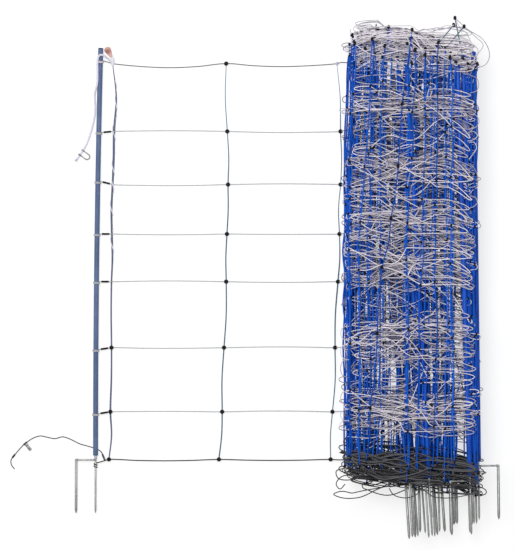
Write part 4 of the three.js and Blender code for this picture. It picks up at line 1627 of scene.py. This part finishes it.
@dataclass
class FoldedNet:
    """The rest of the netting, folded to and fro over the bundle from the floor up."""

    layout: NetLayout
    palette: Palette
    folds: int = 162
    height: float = 0.151
    lowest: float = 0.003
    crowding: float = 0.72
    levels: tuple[float, ...] = (-0.494, -0.336, -0.145, 0.033, 0.164, 0.306, 0.456, 0.636)
    spreads: tuple[float, ...] = (0.016, 0.033, 0.044, 0.040, 0.037, 0.038, 0.037, 0.025)
    settling: float = 1.0
    golden: float = 0.618034
    waves: tuple[float, ...] = (0.8, 1.45, 1.6, 1.45, 1.4, 1.45, 1.5, 1.0)
    gathers: Loops = (
        ((0.257, -0.540), (0.400, -0.515)),
        ((0.222, -0.338), (0.372, -0.352)),
        ((0.241, -0.137), (0.353, -0.060)),
        ((0.254, 0.040), (0.340, 0.052)),
        ((0.256, 0.180), (0.348, 0.172)),
        ((0.297, 0.312), (0.362, 0.322)),
        ((0.308, 0.479), (0.376, 0.484)),
        ((0.335, 0.670), (0.391, 0.668)),
    )
    gathered: float = 0.5
    farthest_gather: float = 0.055
    droops: tuple[float, ...] = (0.0, 0.0, 0.015, 0.030, 0.045, 0.050, 0.040, 0.010)
    droop_start: float = 0.425
    droop_width: float = 0.065
    base_tilt: float = 0.13
    tilt_middle: float = 0.33
    crest_across: tuple[float, ...] = (0.13, 0.17, 0.23, 0.29, 0.34, 0.395, 0.425, 0.47, 0.52)
    crest_heights: tuple[float, ...] = (0.640, 0.664, 0.688, 0.697, 0.692, 0.676, 0.630, 0.604, 0.588)
    band_heights: tuple[float, ...] = (-0.60, -0.30, 0.0, 0.128, 0.333, 0.415, 0.571, 0.70)
    left_band: tuple[float, ...] = (0.169, 0.171, 0.169, 0.168, 0.173, 0.176, 0.183, 0.186)
    right_band: tuple[float, ...] = (0.510, 0.500, 0.495, 0.494, 0.494, 0.495, 0.497, 0.498)
    right_inner: tuple[float, ...] = (0.450, 0.448, 0.446, 0.446, 0.446, 0.446, 0.446, 0.446)
    slot: tuple[float, float] = (0.456, 0.478)
    slack: float = 0.018
    strand_diameter: float = 0.0022
    twine_diameter: float = 0.0032
    low_swell: float = 0.6
    front: tuple[Point, ...] = (
        (0.211, -0.500, 0.146), (0.222, -0.338, 0.151), (0.241, -0.137, 0.152), (0.254, 0.040, 0.152),
        (0.278, 0.172, 0.152), (0.297, 0.312, 0.152), (0.308, 0.479, 0.152), (0.335, 0.678, 0.150),
    )
    crown: tuple[tuple[Point, Point], ...] = (
        ((0.472, 0.602, 0.140), (0.450, 0.710, 0.150)), ((0.402, 0.637, 0.142), (0.447, 0.6915, 0.147)),
        ((0.426, 0.629, 0.142), (0.4746, 0.687, 0.150)),
    )
    crown_loops: Loops = (
        ((0.450, 0.710), (0.483, 0.680), (0.526, 0.651), (0.543, 0.613), (0.534, 0.586),
         (0.504, 0.573)),
        ((0.475, 0.686), (0.502, 0.662), (0.526, 0.637), (0.512, 0.613), (0.488, 0.573)),
        ((0.447, 0.691), (0.480, 0.670), (0.496, 0.629), (0.491, 0.597)),
        ((0.380, 0.680), (0.413, 0.678), (0.448, 0.691)),
        ((0.391, 0.675), (0.426, 0.683), (0.475, 0.686)),
        ((0.402, 0.637), (0.429, 0.656), (0.464, 0.651), (0.502, 0.605)),
        ((0.426, 0.629), (0.459, 0.635), (0.491, 0.640), (0.512, 0.624), (0.504, 0.605)),
        ((0.450, 0.710), (0.468, 0.672), (0.470, 0.640), (0.452, 0.612)),
    )
    trailing_loops: Loops = (
        ((0.303, -0.548), (0.257, -0.551), (0.195, -0.578), (0.149, -0.580), (0.124, -0.570),
         (0.144, -0.562), (0.174, -0.567)),
        ((0.174, -0.567), (0.211, -0.559), (0.257, -0.551), (0.297, -0.537)),
        ((0.273, -0.554), (0.286, -0.572), (0.319, -0.580), (0.348, -0.570), (0.364, -0.548)),
        ((0.362, -0.554), (0.389, -0.575), (0.426, -0.580), (0.469, -0.575), (0.504, -0.564),
         (0.512, -0.543)),
        ((0.200, -0.521), (0.163, -0.532), (0.136, -0.527), (0.131, -0.508), (0.152, -0.500)),
        ((0.184, -0.516), (0.144, -0.524), (0.131, -0.543), (0.141, -0.556), (0.155, -0.543)),
    )
    edge_loops: Loops = (
        ((0.490, 0.556), (0.508, 0.548), (0.514, 0.530), (0.508, 0.514), (0.490, 0.508)),
        ((0.488, 0.449), (0.505, 0.449), (0.515, 0.434), (0.508, 0.418), (0.486, 0.410)),
        ((0.486, 0.402), (0.500, 0.405), (0.511, 0.394), (0.500, 0.383), (0.484, 0.379)),
        ((0.488, 0.376), (0.502, 0.375), (0.508, 0.362), (0.500, 0.346), (0.488, 0.330)),
        ((0.490, 0.318), (0.504, 0.302), (0.512, 0.280), (0.508, 0.259), (0.488, 0.254)),
        ((0.490, 0.232), (0.504, 0.228), (0.511, 0.215), (0.502, 0.204), (0.488, 0.198)),
        ((0.166, -0.118), (0.150, -0.122), (0.143, -0.136), (0.149, -0.152), (0.166, -0.156)),
        ((0.166, -0.166), (0.148, -0.172), (0.143, -0.188), (0.150, -0.205), (0.166, -0.209)),
        ((0.166, -0.209), (0.150, -0.212), (0.143, -0.230), (0.148, -0.250), (0.166, -0.257)),
        ((0.166, -0.292), (0.148, -0.297), (0.143, -0.311), (0.150, -0.326), (0.166, -0.330)),
        ((0.168, -0.340), (0.150, -0.345), (0.142, -0.357), (0.150, -0.370), (0.168, -0.374)),
        ((0.168, -0.372), (0.149, -0.374), (0.141, -0.383), (0.150, -0.393), (0.168, -0.398)),
    )
    trailing_share: float = 0.07
    trailing_level: float = -0.545
    steps: int = 18
    sides: int = 5
    knot_sides: int = 6
    buried_scale: float = 0.75
    top_lift: float = 0.16
    seed: int = 11
    left_kinds: tuple[float, ...] = (0.31, 0.07, 0.62)
    right_kinds: tuple[float, ...] = (0.22, 0.14, 0.64)
    rise_spread: float = 0.002
    droop_range: tuple[float, float] = (-0.1, 1.3)
    stray_depth: float = 0.022
    stray_past: float = 0.004
    inner_depth: float = 0.034
    crest_spread: float = 0.016
    droop_power: float = 1.5
    band_aside: float = 0.0058
    inner_aside: float = 0.009
    stray_aside: float = 0.003
    band_wander: float = 0.0018
    free_wander: float = 0.0042
    shift_kept: float = 0.6
    shift_spread: float = 0.008
    trailing_spread: float = 0.007
    slot_spill: float = 0.3
    edges: tuple[float, float] = (0.157, 0.514)
    gather_across: float = 0.004
    gather_up: float = 0.005
    gather_within: tuple[float, float] = (0.15, 0.85)
    gather_power: float = 1.6
    wave_shares: tuple[float, ...] = (1.0, 0.6, 0.34, 0.18)
    shortest_chord: float = 0.05
    slack_chord: float = 0.28
    gathered_waves: float = 0.45
    span_sway: float = 0.006
    span_rise: float = 0.0016
    turn_least: float = 0.004
    turn_spread: float = 0.005
    long_turns: float = 0.07
    long_least: float = 0.006
    long_spread: float = 0.008
    band_reach: float = 0.75
    band_spread: float = 0.006
    swing_least: float = 0.005
    swing_spread: float = 0.012
    swing_share: float = 0.12
    wide_turn: float = 0.03
    base_turn: float = 0.014
    base_swing: float = 0.006
    turn_power: float = 0.8
    turn_climb: float = 0.3
    # Painted shade: how much lighter a fold's tone gets the higher it lies in the pile, and how that grows.
    painted_shade_rise: float = 0.62
    painted_shade_power: float = 1.5
    tone_spread: float = 0.22
    loop_layer: float = 0.003
    twine_sway: float = 0.0035
    twine_rise: float = 0.002
    knot_size: float = 0.9
    knot_turn: float = 0.35
    knot_profile: Outline = ((0.55, -1.0), (0.95, -0.55), (1.0, 0.0), (0.95, 0.55), (0.55, 1.0))

    def __post_init__(self) -> None:
        """Draws where every fold turns and where every knot lies."""
        self.rng = np.random.default_rng(self.seed)
        count = self.folds + 1
        self.side = np.where(np.arange(count) % 2 == 0, Side.LEFT.value, Side.RIGHT.value)
        self.kind = [self._kind(side) for side in self.side]
        self.share = (np.arange(count) / self.folds) ** self.crowding
        rising = self.lowest + (self.height - self.lowest) * self.share
        rising += self.rng.normal(0.0, self.rise_spread, count)
        self.rise = np.clip(rising, self.lowest, self.height)
        self.droop_shares = self.rng.uniform(*self.droop_range, count)
        self.knots = self._knots()

    def _kind(self, side: int) -> Turn:
        """Draws where on its side a fold's upright lies."""
        shares = self.left_kinds if side == Side.LEFT.value else self.right_kinds
        return list(Turn)[self.rng.choice(len(Turn), p=shares)]

    def _bands(self, y: float) -> tuple[float, float]:
        """Gives where the left and the right band of turns lie at a height up the posts."""
        return (float(np.interp(y, self.band_heights, self.left_band)),
                float(np.interp(y, self.band_heights, self.right_band)))

    def _upright_x(self, number: int, y: float, stray: float) -> float:
        """Gives where a fold's upright lies at a height up the posts.

        Args:
            number: The fold's number.
            y: The height up the posts.
            stray: Where a stray upright lies between the left band and the right one, from 0 to 1.

        Returns:
            The upright's place across the bundle.
        """
        left, right = self._bands(y)
        inner = float(np.interp(y, self.band_heights, self.right_inner))
        if self.kind[number] is Turn.STRAY:
            return left + self.stray_depth + (inner + self.stray_past - left - self.stray_depth) * stray
        if self.side[number] == Side.LEFT.value:
            return left if self.kind[number] is Turn.BAND else left + self.inner_depth
        return right if self.kind[number] is Turn.BAND else inner

    def _crested(self, points: np.ndarray, row: int) -> np.ndarray:
        """Keeps points of the top row under the arched upper edge of the bundle.

        Args:
            points: The points, which are moved.
            row: Their strand's row.

        Returns:
            The same points.
        """
        if row == self.layout.top_row:
            crest = np.interp(points[..., 0], self.crest_across, self.crest_heights)
            crest = crest - abs(self.rng.normal(0.0, self.crest_spread))
            points[..., 1] = np.minimum(points[..., 1], crest)
        return points

    def _drooped(self, points: np.ndarray, row: int, shares: float | np.ndarray) -> np.ndarray:
        """Gives a row's points as the bundle lies, hanging down at its right.

        Args:
            points: The points.
            row: The strand's row.
            shares: How much of the row's droop the points take.

        Returns:
            The lowered points.
        """
        reach = np.clip((points[:, 0] - self.droop_start) / self.droop_width, 0.0, 1.0)
        fall = self.droops[row] * shares * reach**self.droop_power
        if row == 0:
            fall = self.base_tilt * (points[:, 0] - self.tilt_middle)
        return points - fall[:, None] * np.array([0.0, 1.0, 0.0])

    def _knots(self) -> np.ndarray:
        """Gives the place of every knot, one row of knots for each fold's upright.

        Returns:
            The places, by fold and by row.
        """
        count, rows = self.folds + 1, len(self.levels)
        spread = {Turn.BAND: self.band_aside, Turn.INNER: self.inner_aside, Turn.STRAY: self.stray_aside}
        knots = np.empty((count, rows, 3))
        shift = 0.0
        for number in range(count):
            kind = self.kind[number]
            aside = self.rng.normal(0.0, spread[kind])
            half = 0.5 if self.side[number] == Side.RIGHT.value else 0.0
            stray = (number * self.golden) % 1.0 / 2 + half
            pace = self.band_wander if kind is Turn.BAND else self.free_wander
            wander = np.cumsum(self.rng.normal(0.0, pace, rows))
            shift = self.shift_kept * shift + self.rng.normal(0.0, self.shift_spread)
            settled = 1 + self.settling * (1 - self.share[number])
            for row, level in enumerate(self.levels):
                y = level + shift + settled * self.rng.normal(0.0, self.spreads[row])
                if row == 0 and self.rng.random() < self.trailing_share:
                    y = self.trailing_level + self.rng.normal(0.0, self.trailing_spread)
                x = self._upright_x(number, y, stray) + aside + wander[row]
                low, high = self.slot
                if low < x < high:
                    edge = low if x < (low + high) / 2 else high
                    x = edge + self.slot_spill * (edge - x)
                z = self.rise[number] + self.rng.normal(0.0, self.rise_spread)
                knots[number, row] = (x, y, np.clip(z, self.lowest, self.height))
                self._crested(knots[number, row], row)
        knots[..., 0] = np.clip(knots[..., 0], *self.edges)
        knots[-1] = self.front
        return knots

    def _gather(self, line: np.ndarray, row: int) -> bool:
        """Bends a strand's line through the nearest of its row's gathers.

        Args:
            line: The line's points, which are moved.
            row: The strand's row.

        Returns:
            Whether the line goes through a gather.
        """
        if self.rng.random() > self.gathered:
            return False
        x, y = self.gathers[row][self.rng.integers(len(self.gathers[row]))]
        x += self.rng.normal(0.0, self.gather_across)
        y += self.rng.normal(0.0, self.gather_up)
        share = np.linspace(0.0, 1.0, len(line))
        across = line[-1, 0] - line[0, 0] + SMALLEST
        at = float(np.clip((x - line[0, 0]) / across, *self.gather_within))
        pull = y - float(np.interp(at, share, line[:, 1]))
        if abs(pull) > self.farthest_gather:
            return False
        tent = np.minimum(share / at, (1 - share) / (1 - at))
        line[:, 1] += pull * (1 - (1 - tent) ** self.gather_power)
        return True

    def span(self, start: np.ndarray, end: np.ndarray, row: int) -> np.ndarray:
        """Gives the line of a strand across the bundle, gathered or bowed by its slack.

        Args:
            start: The point that it leaves.
            end: The knot that it reaches.
            row: The strand's row.

        Returns:
            The line's points, without its last.
        """
        share = np.linspace(0.0, 1.0, self.steps + 1)[:-1]
        line = start + (end - start) * share[:, None]
        chord = max(self.shortest_chord, abs(end[0] - start[0]))
        orders = np.arange(1, len(self.wave_shares) + 1)
        waves = self.rng.normal(0.0, 1.0, len(orders)) * self.wave_shares
        stretch = ((orders * math.pi * waves) ** 2).sum() / (4 * chord)
        slack = self.slack * chord / self.slack_chord * self.rng.uniform(0.1, 1.0) * self.waves[row] ** 2
        waves *= math.sqrt(slack / stretch)
        if self._gather(line, row):
            waves *= self.gathered_waves
        line[:, 1] += (waves[:, None] * np.sin(orders[:, None] * math.pi * share[None])).sum(0)
        line[:, 0] += self.rng.normal(0.0, self.span_sway) * np.sin(math.pi * share)
        line[:, 2] += self.rng.normal(0.0, self.span_rise) * np.sin(2 * math.pi * share)
        line[:, 2] = np.clip(line[:, 2], self.lowest, self.height)
        return self._crested(line, row)

    def loop(self, number: int, row: int) -> np.ndarray:
        """Gives the loop in which a strand runs on past its knot and turns back.

        Args:
            number: The fold's number.
            row: The strand's row.

        Returns:
            The loop's points, from the knot on.
        """
        knot, ahead = self.knots[number, row], self.knots[number + 1, row]
        side = self.side[number]
        out = abs(self.rng.normal(0.0, self.turn_spread)) + self.turn_least
        if self.rng.random() < self.long_turns:
            out += self.long_spread * self.rng.random() + self.long_least
        band = self._bands(knot[1])[0 if side == Side.LEFT.value else 1]
        if self.kind[number] is not Turn.BAND and self.rng.random() < self.band_reach:
            out = max(out, side * (band - knot[0]) + self.rng.normal(0.0, self.band_spread))
        way = self.rng.choice([-1.0, 1.0])
        swing = way * (self.swing_least + self.swing_spread * self.rng.random() + self.swing_share * out)
        if row == 0 and out < self.wide_turn:
            out += self.base_turn * self.rng.random()
            swing -= self.base_swing
        count = 7 if out < self.wide_turn else 13
        angle = np.linspace(0.0, math.pi, count)
        loop = np.empty((count, 3))
        loop[:, 0] = knot[0] + side * out * np.sin(angle) ** self.turn_power
        loop[:, 1] = knot[1] + swing * (1 - np.cos(angle)) / 2
        loop[:, 2] = knot[2] + (ahead[2] - knot[2]) * self.turn_climb * angle / math.pi
        return loop

    def strand(self, row: int) -> tuple[np.ndarray, np.ndarray]:
        """Gives the whole folded line of one strand and its shade along it, with painted shade that darkens
        the folds lower in the pile.

        Args:
            row: The strand's row.

        Returns:
            The line's points and the shade at each.
        """
        line = [self.layout.strand(row)[-1:]]
        tones = [np.full(1, 0.5)]
        lift = self.top_lift if row == self.layout.top_row else 0.0
        for number in range(self.folds):
            loop = self.loop(number, row)
            span = self.span(loop[-1], self.knots[number + 1, row], row)
            # Painted shade: folds lower in the pile get a darker tone, standing in for the shade inside the
            # bundle.
            middle = lift + self.painted_shade_rise * self.share[number] ** self.painted_shade_power
            tone = np.clip(self.rng.normal(middle, self.tone_spread), 0.0, 1.0)
            here, ahead = self.droop_shares[number : number + 2]
            line.append(self._drooped(loop[:-1], row, here))
            line.append(self._drooped(span, row, np.linspace(here, ahead, len(span), endpoint=False)))
            tones.append(np.full(len(loop) - 1 + len(span), tone))
        line.append(self.seats(self.folds)[row][None])
        tones.append(np.full(1, 0.5))
        return np.vstack(line), np.concatenate(tones)

    def slack_loops(self, weaver: Weaver, loops: Loops, radius: float) -> None:
        """Adds the slack loops that lie on top of the bundle.

        Args:
            weaver: What they are added to.
            loops: The points of each loop, across the bundle and up it.
            radius: The strand's radius.
        """
        for number, loop in enumerate(loops):
            height = self.height - self.loop_layer * (number % 3)
            line = spline([(x, y, height) for x, y in loop], 8)
            weaver.tube(line, radius, self.sides, 0.3 + 0.1 * (number % 4))

    def strands(self) -> None:
        """Makes the eight folded strands."""
        for row in range(len(self.levels)):
            line, tones = self.strand(row)
            finish = self.palette.base_cord if row == 0 else self.palette.polywire
            radius = self.layout.strand_radius(row) if row == 0 else self.strand_diameter / 2
            line[:, 2] = np.maximum(line[:, 2], radius)
            weaver = Weaver(f"folded_strand_{row + 1}").tube(line, radius, self.sides, tones)
            if row == 0:
                self.slack_loops(weaver, self.trailing_loops, radius)
            if row == self.layout.top_row:
                self.slack_loops(weaver, self.crown_loops, radius)
            slot = "folded_base_cord" if row == 0 else "folded_polywire"
            strand = weaver.build(self.palette.material(finish), slot)
            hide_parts(f"folded_net_{row + 1}")
        edges = Weaver("edge_loops")
        self.slack_loops(edges, self.edge_loops, self.strand_diameter / 2)
        edges.build(self.palette.material(self.palette.polywire), "folded_polywire")

    def seats(self, number: int) -> np.ndarray:
        """Gives the places of a fold's knots as the bundle lies.

        Args:
            number: The fold's number.

        Returns:
            The places, from the base strand up.
        """
        share = self.droop_shares[number]
        knots = self.knots[number][:, None]
        return np.vstack([self._drooped(knot, row, share) for row, knot in enumerate(knots)])

    def uprights(self) -> None:
        """Makes the folded uprights' blue twines."""
        weaver = Weaver("folded_uprights")
        for number in range(self.folds + 1):
            knots = self.seats(number)
            middles = (knots[:-1] + knots[1:]) / 2
            middles[:, 0] += self.rng.normal(0.0, self.twine_sway, len(middles))
            middles[:, 2] += self.rng.normal(0.0, self.twine_rise, len(middles))
            middles[:, 2] = np.clip(middles[:, 2], self.lowest, self.height)
            points = np.empty((2 * len(knots) - 1, 3))
            points[::2] = knots
            points[1::2] = middles
            radius = self.twine_diameter / 2 * (1 + self.low_swell * (1 - self.share[number]))
            # Painted shade: the twines of folds lower in the pile get a darker tone.
            weaver.tube(spline(points, 3), radius, self.sides, self.rng.random() * self.share[number])
        weaver.build(self.palette.material(self.palette.blue_twine), "twine")
        crown = Weaver("crown_uprights")
        for low, high in self.crown:
            crown.tube(np.linspace(low, high, 6), self.twine_diameter / 2, 8)
        crown.build(self.palette.material(self.palette.twine), "twine")

    def knot_bodies(self) -> None:
        """Makes the moulded knots where the folded strands and uprights cross."""
        half = self.layout.knot_length / 2
        rim = self.layout.knot_width / 2 * self.knot_size
        outline = [(radius * rim, height * half) for radius, height in self.knot_profile]
        places = []
        for number in range(self.folds + 1):
            for row, knot in enumerate(self.seats(number)):
                is_full = row == self.layout.top_row or number == self.folds
                places.append((knot, 1.0 if is_full else self.buried_scale))
        places.extend((np.array(end), 1.0) for pair in self.crown for end in pair)
        weaver = Weaver("folded_knots")
        for knot, scale in places:
            turn = Matrix.Rotation(self.rng.normal(0.0, self.knot_turn), 4, "Z") @ Matrix.Scale(scale, 4)
            weaver.turned(outline, Matrix.Translation(Vector(knot)) @ turn, self.knot_sides)
        weaver.build(self.palette.material(self.palette.black), "black_plastic")

    def build(self) -> None:
        """Makes the folded netting."""
        self.strands()
        self.uprights()
        self.knot_bodies()
        log.info("folded netting: %d folds of %d strands", self.folds, len(self.levels))


def main() -> None:
    """Builds the scene, piece by piece."""
    logging.basicConfig(level=logging.INFO, format="%(message)s")
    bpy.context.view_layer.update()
    palette = Palette()
    layout = NetLayout()
    studio = Studio()
    studio.camera()
    GuyRope(palette).build()
    EarthLead(palette).build()
    EndPost(layout, palette).build()
    OpenField(layout, palette).build()
    PostBundle(layout, palette).build()
    FoldedNet(layout, palette).build()
    studio.floor()
    studio.light()


if __name__ == "__main__":
    main()
